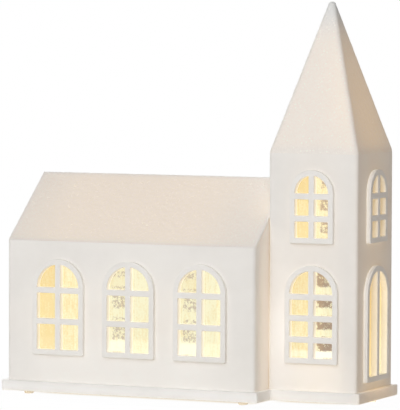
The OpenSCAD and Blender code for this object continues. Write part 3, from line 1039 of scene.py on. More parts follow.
def solid(name: str, plane: Plane, outline: list[Point2], outer: float, inner: float) -> Thing:
    """Makes a closed prism on a face of the building.

    Args:
        name: name of the prism.
        plane: the face.
        outline: its section, anticlockwise.
        outer: how far out its outer end lies.
        inner: how far out its inner end lies.

    Returns:
        The prism.
    """
    draft = MeshDraft()
    ends = [draft.ring([plane.point(u, v, out) for u, v in outline]) for out in (outer, inner)]
    draft.bridge(ends[0], ends[1])
    draft.cap([ends[0]])
    draft.cap([ends[1]])
    return draft.piece(name, [])


def rectangle(x0: float, y0: float, x1: float, y1: float) -> list[Point2]:
    """Returns a rectangle's corners, anticlockwise."""
    return [(x0, y0), (x1, y0), (x1, y1), (x0, y1)]


@dataclass(frozen=True)
class Site:
    """Main sizes and places of the building in metres, as the CAD has them.

    In the names, x0 is a west face, x1 an east face, cx a middle along X, z a height over the
    table, h a height, l a length, w a width, d a depth, t a thickness and r a radius.
    """

    nave_x0: float = -132.25 * MM
    junction_x: float = 64.25 * MM
    nave_d: float = 115 * MM
    tower_w: float = 68 * MM
    plinth_z: float = 2 * MM
    plinth_h: float = 7.5 * MM
    plinth_out: float = 3.5 * MM
    wall_z: float = 9.5 * MM
    nave_wall_h: float = 102 * MM
    tower_wall_h: float = 168.2 * MM
    wall_t: float = 4 * MM
    wall_r: float = 3 * MM
    corner_r: float = 2 * MM
    bay_in: float = 8 * MM
    roof_rise: float = 47.7 * MM
    roof_t: float = 3 * MM
    ridge_r: float = 1.5 * MM
    spire_rise: float = 113.5 * MM
    spire_t: float = 3.5 * MM
    tip_r: float = 4.8 * MM
    tip_share: float = 0.95
    lip_h: float = 4 * MM
    lip_t: float = 2 * MM
    seat_gap: float = 0.3 * MM
    passage_w: float = 30 * MM
    passage_h: float = 60 * MM

    @property
    def nave_l(self) -> float:
        """Length of the nave."""
        return self.junction_x - self.nave_x0

    @property
    def nave_cx(self) -> float:
        """Middle of the nave."""
        return (self.junction_x + self.nave_x0) / 2

    @property
    def tower_cx(self) -> float:
        """Middle of the tower."""
        return self.junction_x + self.tower_w / 2

    @property
    def tower_x1(self) -> float:
        """The tower's east face."""
        return self.junction_x + self.tower_w

    @property
    def eave_z(self) -> float:
        """Height of the nave's eaves."""
        return self.wall_z + self.nave_wall_h

    @property
    def tower_top_z(self) -> float:
        """Height of the tower's walls."""
        return self.wall_z + self.tower_wall_h

    @property
    def roof_pitch(self) -> float:
        """Slope of the nave roof in radians."""
        return math.atan2(self.roof_rise, self.nave_d / 2)

    @property
    def spire_pitch(self) -> float:
        """Slope of the spire's faces in radians."""
        return math.atan2(self.spire_rise, self.tower_w / 2)


SITE = Site()


@dataclass(frozen=True)
class Palette:
    """The finishes of the pieces that the builder makes or dresses.

    Each glow has its middle, its reach, its strength, its colour and how it stretches.
    """

    # Painted light on the plinth: a warm pool where the door's light falls on the east ledge, an orange
    # strip low on the east face, and paler strips along the front faces that stand for light which the
    # table throws back
    plinth: BisquePorcelain = BisquePorcelain(
        "porcelain_bisque_plinth", "#F1F3F3", "#F8F9F9",
        glows=(Glow((0.138, 0.0, 0.0105), 0.045, 0.20, "#FFD094", (1.0, 1.0, 0.15)),
               Glow((0.1365, 0.0, 0.005), 0.012, 0.12, "#FFB830", (1.0, 6.5, 1.0)),
               Glow((-0.034, -0.061, 0.0055), 0.005, 0.055, "#FFFFFF", (200.0, 1.0, 1.0)),
               Glow((0.100, -0.0375, 0.0055), 0.005, 0.05, "#FFE9C8", (20.0, 1.0, 1.0))),
        base_glow=0.05)
    # Painted light on the nave: warm spots of lamp light through the front wall near the windows,
    # near-white light low on the front wall and under the eaves, and a warm strip on the east gable
    # beside the tower for light that the tower throws back and lamp light through it
    nave: BisquePorcelain = BisquePorcelain(
        "porcelain_bisque_nave", "#EEF0F0", "#F3F5F5",
        glows=(Glow((-0.006, -0.0575, 0.06), 0.045, 0.05),
               Glow((-0.062, -0.0575, 0.06), 0.045, 0.045),
               Glow((-0.120, -0.0575, 0.055), 0.03, 0.02),
               Glow((-0.07, -0.0575, 0.0), 0.075, 0.07, "#FFFAF0"),
               Glow((0.005, -0.0575, 0.0), 0.075, 0.06, "#FFFAF0"),
               Glow((-0.035, -0.0575, 0.110), 0.05, 0.025, "#FFF4E6", (1.4, 1.0, 1.0)),
               Glow((0.065, -0.040, 0.06), 0.018, 0.135, "#FFD2A1", (1.0, 1.0, 8.0))),
        base_glow=0.075)
    # Painted light on the tower: a warm spot of lamp light under the lower window, a near-white painted
    # brightening on the front beside the nave, an orange band up the front, and warm light on the shaded
    # east face
    tower: BisquePorcelain = BisquePorcelain(
        "porcelain_bisque_tower", "#ECEEEE", "#F1F3F3",
        glows=(Glow((0.103, -0.034, 0.018), 0.040, 0.125, "#FFE3B8"),
               Glow((0.066, -0.034, 0.048), 0.045, 0.095, "#FFFAF4"),
               Glow((0.102, -0.034, 0.09), 0.055, 0.045, "#FFB830", (1.0, 1.0, 5.0)),
               Glow((0.150, 0.0, 0.09), 0.030, 0.33, "#FFC050", (1.0, 2.6, 14.0))),
        base_glow=0.065)
    cap: BisquePorcelain = BisquePorcelain("porcelain_bisque_roof", "#EEEEEC", "#F5F5F3")
    casting: BisquePorcelain = BisquePorcelain(
        "porcelain_bisque_castings", "#F0F2F2", "#F5F7F7", base_glow=0.07, lit_strength=0.34,
        lit_colour="#FFF0D8")
    roof: SugarSnow = SugarSnow(
        "snow_grit_on_nave", "#F0F1F0", "#F8F9F8", "#FFFDF8",
        glows=(Glow((-0.08, -0.029, 0.135), 0.075, 0.08, "#FFC050", (1.0, 2.5, 2.5)),
               Glow((-0.005, -0.029, 0.135), 0.075, 0.08, "#FFC050", (1.0, 2.5, 2.5)),
               Glow((0.064, -0.025, 0.14), 0.03, 0.06, "#FFC050")), base_glow=0.12)
    spire: SugarSnow = SugarSnow(
        "snow_grit_on_spire", "#EBECEB", "#F3F4F3", "#FFFDF8",
        glows=(Glow((0.134, 0.0, 0.215), 0.055, 0.13, "#FFC050", (1.0, 1.0, 2.0)),),
        base_glow=0.14)
    film: EmbossedFilm = EmbossedFilm()
    tray: MouldedPlastic = MouldedPlastic("abs_moulded_white", "#E8E6DF", "#F2F0EA")
    black: MouldedPlastic = MouldedPlastic("abs_moulded_black", "#1B1B1D", "#262628", 0.42)
    feet: CastPolyurethane = CastPolyurethane()
    steel: PlatedSteel = PlatedSteel()
    cells: CellSleeve = CellSleeve(-0.066)
    board: SolderMask = SolderMask()
    lens: LampEpoxy = LampEpoxy()
    jacket: MouldedPlastic = MouldedPlastic("pvc_lead_jacket", "#8E1F1C", "#A82A25", 0.38)


PALETTE = Palette()


class Part:
    """What every sub-assembly shares: it fits its pieces to the CAD and reports them."""

    def fit(self, piece: Thing, node: str, slot: str) -> Thing:
        """Puts a piece in the place of a CAD node.

        Args:
            piece: the new piece.
            node: the CAD node that it stands for, or for a part of.
            slot: the record's material slot; not used.

        Returns:
            The piece.
        """
        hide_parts(node)
        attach(piece, HOUSE)
        log.info("%s: %d faces, for %s", piece.name, len(piece.data.polygons), node)
        return piece

    def build(self) -> list[Thing]:
        """Makes and dresses the pieces.

        Returns:
            The new pieces.
        """
        raise NotImplementedError


@dataclass
class Plinth(Part):
    """The cast ring that nave and tower stand on, with soft edges.

    Attributes:
        top_edge: radius of the upper edge.
        foot_edge: radius of the lower edge.
        shade_from: height under which its side lies in the shade of the gap, lit from below.
        side_lit: how much light falls on its side from there down.
        bay_lit: how much falls in its openings.
        chords: chords in each corner of its outside.
        bay_chords: chords in each corner of its openings.
    """

    top_edge: float = 0.6 * MM
    foot_edge: float = 0.5 * MM
    shade_from: float = 1.6 * MM
    side_lit: float = 0.1
    bay_lit: float = 0.5
    chords: int = 6
    bay_chords: int = 4

    def outline(self) -> list[Point2]:
        """Draws the plan of the ring's outside.

        Returns:
            Its points, anticlockwise.
        """
        out = SITE.plinth_out
        west, step, east = SITE.nave_x0 - out, SITE.junction_x + out, SITE.tower_x1 + out
        deep, shallow = SITE.nave_d / 2 + out, SITE.tower_w / 2 + out
        plan = [(west, -deep), (step, -deep), (step, -shallow), (east, -shallow),
                (east, shallow), (step, shallow), (step, deep), (west, deep)]
        return rounded(plan, SITE.corner_r, self.chords)

    def bays(self) -> list[list[Point2]]:
        """Draws the two openings under nave and tower.

        Returns:
            The points of each, anticlockwise.
        """
        inner = SITE.bay_in
        nave = rectangle(SITE.nave_x0 + inner, -SITE.nave_d / 2 + inner,
                         SITE.junction_x - inner, SITE.nave_d / 2 - inner)
        tower = rectangle(SITE.junction_x + inner, -SITE.tower_w / 2 + inner,
                          SITE.tower_x1 - inner, SITE.tower_w / 2 - inner)
        return [rounded(bay, SITE.corner_r, self.bay_chords) for bay in (nave, tower)]

    def build(self) -> list[Thing]:
        """Makes the ring.

        Returns:
            The ring.
        """
        upper = edge_round(self.top_edge, SITE.plinth_h)
        lower = [(0.0, self.shade_from, 0.0)]
        lower += [(inset, -out, self.side_lit)
                  for inset, out, _ in reversed(edge_round(self.foot_edge, 0))]
        draft = MeshDraft("lit")
        plate(draft, Plane(Facing.UP, Vector((0, 0, SITE.plinth_z))), self.outline(), self.bays(),
              upper + lower, [(0, SITE.plinth_h, 0.0), (0, 0, self.bay_lit)])
        ring = draft.piece("plinth_ring", [PALETTE.plinth])
        even_flats(ring)
        return [self.fit(ring, "plinth", "porcelain_bare")]


@dataclass(frozen=True)
class WindowKind:
    """One of the kinds of window casting.

    Attributes:
        arch: outline of the frame.
        sill: height of the frame's foot over the plinth.
        rows: rows of panes under the round head, none for the door.
    """

    arch: Arch
    sill: float
    rows: int


NAVE_WINDOW = WindowKind(Arch(width=41 * MM, height=69.5 * MM), sill=19.7 * MM, rows=2)
UPPER_WINDOW = WindowKind(Arch(width=33.2 * MM, height=52 * MM), sill=104.8 * MM, rows=2)
LOWER_WINDOW = WindowKind(Arch(width=40.5 * MM, height=69.6 * MM), sill=19.6 * MM, rows=3)
DOOR = WindowKind(Arch(width=42 * MM, height=82.2 * MM), sill=6.1 * MM, rows=0)
NAVE_PITCH = 56.2 * MM


@dataclass(frozen=True)
class Outside:
    """Where the film shows a painted shade: the unlit outside, seen by way of the far windows.

    Attributes:
        column: the panes that it shows in, 0 for the left and 1 for the right.
        across: share of a pane's width from which it shows.
        up: share of a pane's height from which it shows.
        strength: how clearly it shows.
        head_up: share of a pane's height in the round head up to which it shows.
        strip: how clearly it shows in a thin strip at the foot of the upper panes.
    """

    column: int
    across: float
    up: float
    strength: float
    head_up: float = 2.0
    strip: float = 0.0


@dataclass(frozen=True)
class Place:
    """One window or door of the building.

    Attributes:
        name: name of its pieces.
        kind: its kind of casting.
        facing: the way it looks.
        x: place of its middle along X, for the front and the back.
        casting_node: CAD node of its casting.
        film_node: CAD node of its film.
        dim: where the painted view of the unlit outside shows.
        hot: how strongly lamps shine straight through the lowest left and right panes.
        shift: how much paler the film is than in other windows, from 0 to 1.
    """

    name: str
    kind: WindowKind
    facing: Facing
    x: float
    casting_node: str
    film_node: str
    dim: Outside | None = None
    hot: tuple[float, float] = (0.0, 0.0)
    shift: float = 0.0

    def plane(self) -> Plane:
        """Finds the wall's face that the casting stands on.

        Returns:
            The face, with its zero in the middle of the casting's foot.
        """
        z = SITE.wall_z + self.kind.sill
        half = SITE.nave_d / 2 if "nave" in self.name else SITE.tower_w / 2
        spots = {Facing.FRONT: Vector((self.x, -half, z)), Facing.BACK: Vector((self.x, half, z)),
                 Facing.EAST: Vector((SITE.tower_x1, 0, z))}
        return Plane(self.facing, spots[self.facing])


def all_places() -> list[Place]:
    """Lists the windows and the door.

    Returns:
        Their places, in the order that the pieces are made.
    """
    made: list[Place] = []
    for k in range(3):
        x = SITE.nave_cx + (k - 1) * NAVE_PITCH
        dim = Outside(column=0, across=0.26, up=0.45, strength=0.46, head_up=0.78, strip=0.6)
        made.append(Place(
            f"nave_front_window_{k + 1}", NAVE_WINDOW, Facing.FRONT, x, "nave_front_windows",
            "nave_front_panes", dim=dim if k else None, hot=(0.65, 0.2) if k else (0.1, 0.0),
            shift=0.03 if k else -0.35))
        made.append(Place(f"nave_back_window_{k + 1}", NAVE_WINDOW, Facing.BACK, x,
                          "nave_back_windows", "nave_back_panes", hot=(0.3, 0.3)))
    tx = SITE.tower_cx
    made += [
        Place("tower_front_lower", LOWER_WINDOW, Facing.FRONT, tx, "tower_front_lower_window",
              "tower_front_panes", Outside(column=1, across=0.18, up=0.44, strength=0.97),
              hot=(0.5, 1.0)),
        Place("tower_front_upper", UPPER_WINDOW, Facing.FRONT, tx, "tower_front_upper_window",
              "tower_front_panes", Outside(column=1, across=0.46, up=0.3, strength=0.72),
              shift=-0.35),
        Place("tower_back_lower", LOWER_WINDOW, Facing.BACK, tx, "tower_back_lower_window",
              "tower_back_panes", hot=(0.3, 0.3)),
        Place("tower_back_upper", UPPER_WINDOW, Facing.BACK, tx, "tower_back_upper_window",
              "tower_back_panes"),
        Place("tower_side_upper", UPPER_WINDOW, Facing.EAST, 0.0, "tower_side_upper_window",
              "tower_side_panes"),
        Place("tower_side_door", DOOR, Facing.EAST, 0.0, "tower_door", "tower_side_panes"),
    ]
    return made


PLACES = all_places()


@dataclass
class Walls(Part):
    """The two wall castings, each hollow, with an opening behind every window.

    Attributes:
        lip: how far an opening is drawn in from the outside of its casting.
        over: how far a shape that is cut away reaches past the walls.
        opening_chords: chords in an opening's round head.
        corner_chords: chords in the walls' upright edges.
        smooth_below: faces that meet at a smaller angle in degrees shade as one.
    """

    lip: float = 1.6 * MM
    over: float = 1 * MM
    opening_chords: int = 24
    corner_chords: int = 8
    smooth_below: float = 30

    def openings(self, tower: bool) -> list[Thing]:
        """Makes the shapes that cut the window openings.

        Args:
            tower: whether they are the tower's and not the nave's.

        Returns:
            The shapes.
        """
        made = []
        for place in PLACES:
            if ("tower" in place.name) == tower:
                made.append(solid(f"cut_{place.name}", place.plane(),
                                  place.kind.arch.outline(self.lip, self.opening_chords),
                                  self.over, -SITE.wall_t - self.over))
        return made

    def passage(self) -> Thing:
        """Makes the shape that cuts the way between nave and tower.

        Returns:
            The shape.
        """
        reach = SITE.wall_t + self.over
        half = SITE.passage_w / 2
        return solid("cut_passage", Plane(Facing.EAST, Vector((SITE.junction_x, 0, SITE.wall_z))),
                     rectangle(-half, -self.over, half, SITE.passage_h), reach, -reach)

    def casting(self, name: str, x0: float, x1: float, half: float, top: float,
                above: list[Thing]) -> Thing:
        """Makes four walls round a room that is open above and below.

        Args:
            name: name of the casting.
            x0: its west face.
            x1: its east face.
            half: half its depth.
            top: height of the walls over their foot.
            above: what is cut away above them.

        Returns:
            The casting.
        """
        floor = Plane(Facing.UP, Vector((0, 0, SITE.wall_z)))
        plan = rounded(rectangle(x0, -half, x1, half), SITE.wall_r, self.corner_chords)
        body = solid(name, floor, plan, top, 0)
        low = (x0 + SITE.wall_t, -half + SITE.wall_t)
        high = (x1 - SITE.wall_t, half - SITE.wall_t)
        room = solid(f"{name}_room", floor, rectangle(*low, *high), top + 2 * self.over, -self.over)
        carve(body, [*above, room, *self.openings("tower" in name), self.passage()])
        mark_lit(body.data, Vector((*low, 0)), Vector((*high, 1)))
        return body

    def nave(self) -> Thing:
        """Makes the nave's four walls with both gables.

        Returns:
            The casting.
        """
        half = SITE.nave_d / 2
        level = half - SITE.roof_t / math.sin(SITE.roof_pitch)
        h = SITE.nave_wall_h
        top = h + SITE.roof_rise
        beyond = half + self.over
        air = [(beyond, h), (beyond, top + self.over), (-beyond, top + self.over), (-beyond, h),
               (-level, h), (0, h + level * math.tan(SITE.roof_pitch)), (level, h)]
        end = Plane(Facing.EAST, Vector((SITE.junction_x, 0, SITE.wall_z)))
        above = solid("nave_gables_cut", end, air, self.over, -SITE.nave_l - self.over)
        return self.casting("nave_wall_casting", SITE.nave_x0, SITE.junction_x, half, top, [above])

    def tower(self) -> Thing:
        """Makes the tower's square tube."""
        return self.casting("tower_wall_casting", SITE.junction_x, SITE.tower_x1,
                            SITE.tower_w / 2, SITE.tower_wall_h, [])

    def build(self) -> list[Thing]:
        """Makes both castings.

        Returns:
            The castings.
        """
        made = []
        for body, node, finish in ((self.nave(), "nave_walls", PALETTE.nave),
                                   (self.tower(), "tower_walls", PALETTE.tower)):
            body.data.materials.clear()
            body.data.materials.append(finish.material())
            body.data.polygons.foreach_set("material_index", [0] * len(body.data.polygons))
            body.data.shade_smooth()
            body.data.set_sharp_from_angle(angle=math.radians(self.smooth_below))
            even_flats(body)
            made.append(self.fit(body, node, "porcelain_bare"))
        return made


@dataclass
class WindowCastings(Part):
    """The arched lattices: a proud frame and bars, and a spigot that seats in the wall.

    Attributes:
        frame: width of the frame.
        bar: width of a glazing bar.
        proud: how far a casting stands out of the wall.
        spigot: how deep its spigot seats.
        lip: how much of the frame rests on the wall.
        edge: radius of the frame's outer edge.
        bar_edge: radius of the edges round the panes.
        pane_corner: radius of the panes' corners.
        side_at: share of its height out of the wall down to which its outside is in shade.
        hole_at: the same for the sides of the panes.
        east_rim: how much light falls on its foot at the wall, on the east face.
        rim: the same on the other faces.
        head_chords: chords in a pane's round head.
        corner_chords: chords in a pane's corner.
    """

    frame: float = 3.9 * MM
    bar: float = 4.2 * MM
    proud: float = 3.1 * MM
    spigot: float = 2 * MM
    lip: float = 1.75 * MM
    edge: float = 0.4 * MM
    bar_edge: float = 0.5 * MM
    pane_corner: float = 0.7 * MM
    side_at: float = 0.55
    hole_at: float = 0.75
    east_rim: float = 0.5
    rim: float = 0.1
    head_chords: int = 20
    corner_chords: int = 3

    def panes(self, kind: WindowKind) -> list[list[Point2]]:
        """Draws the holes between frame and bars.

        Args:
            kind: the kind of window.

        Returns:
            The points of each hole, anticlockwise.
        """
        arch = kind.arch
        half, bar = arch.width / 2 - self.frame, self.bar / 2
        height = (arch.spring - self.frame - kind.rows * self.bar) / max(kind.rows, 1)
        right = [rectangle(bar, self.frame + k * (height + self.bar), half,
                           self.frame + k * (height + self.bar) + height) for k in range(kind.rows)]
        turn = math.acos(bar / half)
        head = arc((0.0, arch.spring), half, 0, turn, self.head_chords)
        foot = [(bar, arch.spring)] if kind.rows else [(bar, self.frame), (half, self.frame)]
        right.append(foot + head)
        left = [[(-u, v) for u, v in reversed(hole)] for hole in right]
        return [rounded(hole, self.pane_corner, self.corner_chords) for hole in right + left]

    def lit_sides(self, place: Place) -> tuple[float, float, float]:
        """Tells how strongly lamps light the sides of the panes.

        Args:
            place: the window.

        Returns:
            How strongly near the face, at the wall and at the spigot's end.
        """
        if place.facing is not Facing.EAST:
            return 0.2, 0.5, 0.75
        return (0.35, 0.15, 0.05) if place.kind.rows else (0.45, 0.3, 0.05)

    def casting(self, place: Place) -> Thing:
        """Makes one casting.

        Args:
            place: its window.

        Returns:
            The casting.
        """
        sides = edge_round(self.edge, self.proud)
        rim = self.east_rim if place.facing is Facing.EAST else self.rim
        sides += [(0.0, self.proud * self.side_at, 0.0), (0.0, 0.0, rim), (self.lip, 0.0, rim),
                  (self.lip, -self.spigot, 1.0)]
        face = edge_round(self.bar_edge, self.proud)
        near, middle, far = self.lit_sides(place)
        deep = [(0.0, self.proud * self.hole_at, near), (0.0, 0.0, middle), (0.0, -self.spigot, far)]
        draft = MeshDraft("lit")
        plate(draft, place.plane(), place.kind.arch.outline(), self.panes(place.kind), sides, face + deep)
        return draft.piece(f"{place.name}_lattice", [PALETTE.casting])

    def build(self) -> list[Thing]:
        """Makes every casting.

        Returns:
            The castings.
        """
        made = []
        for place in PLACES:
            lattice = self.casting(place)
            even_flats(lattice)
            made.append(self.fit(lattice, place.casting_node, "porcelain_frame"))
        return made


@dataclass
class WindowFilms(Part):
    """The embossed film behind each lattice, one sheet a window.

    Attributes:
        inset: how far a sheet is drawn in from the frame's outside.
        back_of_spigot: depth of its outer face in the wall.
        thickness: thickness of the film.
        cell: spacing of the points that carry its relief.
        relief: height of the embossing, all of it inward.
        pebble: width of the pebbles that the relief draws.
        sight_slope: how far a line of sight moves sideways a length into the wall.
        soft: share of a pane over which the painted outside fades in sideways.
        soft_up: the same upward.
        strip_up: shares of an upper pane's height between which its strip shows.
        strip_soft: share over which the strip fades in.
        hot_up: share of the lowest panes' height up to which lamps show.
        hot_soft: share over which they fade out.
        drift: how far the film's warmth wanders over a window.
        drift_size: width of the patches in which it does.
        warm: how warm the film is in the right panes and where the painted outside shows.
        warm_left: how warm it is in the other panes.
        casting: the lattice in front of it.
    """

    inset: float = 1.75 * MM
    back_of_spigot: float = 2 * MM
    thickness: float = 0.5 * MM
    cell: float = 1.1 * MM
    relief: float = 0.16 * MM
    pebble: float = 1.6 * MM
    sight_slope: float = 0.458
    soft: float = 0.05
    soft_up: float = 0.06
    strip_up: tuple[float, float] = (0.04, 0.15)
    strip_soft: float = 0.03
    hot_up: float = 0.55
    hot_soft: float = 0.15
    drift: float = 0.2
    drift_size: float = 14 * MM
    warm: float = 0.15
    warm_left: float = 0.65
    casting: WindowCastings = field(default_factory=WindowCastings)

    def marks(self, place: Place, u: float, v: float) -> dict[str, float]:
        """Works out what the film shows at a point.

        Args:
            place: the window.
            u: the point's place across it.
            v: its height over the window's foot.

        Returns:
            The film's marks there, as its finish has them.
        """
        kind, casting = place.kind, self.casting
        half = kind.arch.width / 2 - casting.frame
        height = (kind.arch.spring - casting.frame - kind.rows * casting.bar) / max(kind.rows, 1)
        row = int((v - casting.frame) // (height + casting.bar))
        up = (v - casting.frame - row * (height + casting.bar)) / height
        column = 0 if u < 0 else 1
        start = -half if column == 0 else casting.bar / 2
        depth = casting.proud + self.back_of_spigot
        across = (u - start + depth * self.sight_slope) / (half - casting.bar / 2)
        dim, hot, far = 0.0, 0.0, place.dim
        if far and column == far.column:
            top = far.head_up if row >= kind.rows else 2.0
            sideways, (low, high) = (across - far.across) / self.soft, self.strip_up
            in_band = min(sideways, (up - far.up) / self.soft_up, (top - up) / self.soft_up, 1.0)
            in_strip = min(sideways, (up - low) / self.strip_soft, (high - up) / self.strip_soft, 1.0)
            dim = max(in_band, 0.0) * far.strength
            if row >= 1:
                dim = max(dim, in_strip * far.strip)
        if kind.rows and row <= 0:
            hot = place.hot[column] * max(0.0, min(1.0, (self.hot_up - up) / self.hot_soft))
        warm = self.drift * noise.noise(Vector((u, v, place.x)) / self.drift_size) - place.shift
        warm += self.warm if far and column == far.column or column == 1 else self.warm_left
        # The door's painted light turns deeper amber toward its head, most of it in its left pane
        shade, power, height_share = 0.0, 1.0, v / kind.arch.height
        if place.facing is Facing.EAST and kind.rows:
            warm, shade, power = 1.0, 1.0, 0.61
        elif place.facing is Facing.EAST:
            warm += (0.5 if column == 0 else 0.3) + 0.5 * height_share
            shade = (0.35 if column == 0 else 0.12) + 0.65 * height_share
            power = 1.17 - 0.4 * height_share if column == 0 else 1.21
        elif row >= kind.rows and column == 0:
            shade, power = (0.12, 0.97) if far and far.column == 0 else (0.2, 0.93)
        return {"dim": dim, "hot": hot, "warm": warm, "shade": shade, "power": power}

    def sheet(self, place: Place) -> Thing:
        """Makes one sheet: a grid that follows the arch, with its relief on the outer face.

        Args:
            place: its window.

        Returns:
            The sheet.
        """
        arch, plane = place.kind.arch, place.plane()
        half, foot = arch.width / 2 - self.inset, self.inset
        columns = round(2 * half / self.cell)
        rows = round((arch.height - 2 * self.inset) / self.cell)
        draft = MeshDraft("dim", "hot", "warm", "shade", "power")
        faces: list[list[list[int]]] = []
        for out, relief in ((-self.back_of_spigot, self.relief),
                            (-self.back_of_spigot - self.thickness, 0.0)):
            grid = []
            for i in range(columns + 1):
                u = -half * math.cos(math.pi * i / columns)
                top = arch.head_at(u, self.inset)
                line = []
                for j in range(rows + 1):
                    v = foot + (top - foot) * j / rows
                    rim = 0.0 if i in (0, columns) or j in (0, rows) else 1.0
                    bump = 0.5 + 0.5 * noise.noise(Vector((u, v, place.x)) / self.pebble)
                    line.append(draft.add(
                        plane.point(u, v, out - relief * rim * bump), **self.marks(place, u, v)))
                grid.append(line)
            faces.append(grid)
        for grid in faces:
            for one, two in zip(grid, grid[1:]):
                draft.bridge(one, two, closed=False)
        rims = [[*[line[0] for line in grid], *grid[-1][1:], *[line[-1] for line in grid[-2::-1]],
                 *grid[0][-2:0:-1]] for grid in faces]
        draft.bridge(rims[0], rims[1])
        return draft.piece(f"{place.name}_film", [PALETTE.film])

    def build(self) -> list[Thing]:
        """Makes every sheet."""
        return [self.fit(self.sheet(place), place.film_node, "clear_film") for place in PLACES]


@dataclass(frozen=True)
class EdgeShade:
    """How much less lamp light comes through a casting beside a thick edge.

    Attributes:
        least: share of the light at the edge.
        reach: distance from which all of it comes through.
    """

    least: float
    reach: float

    def at(self, away: float) -> float:
        """Returns the share of the light at a distance from the edge."""
        return self.least + (1 - self.least) * ease(away / self.reach)


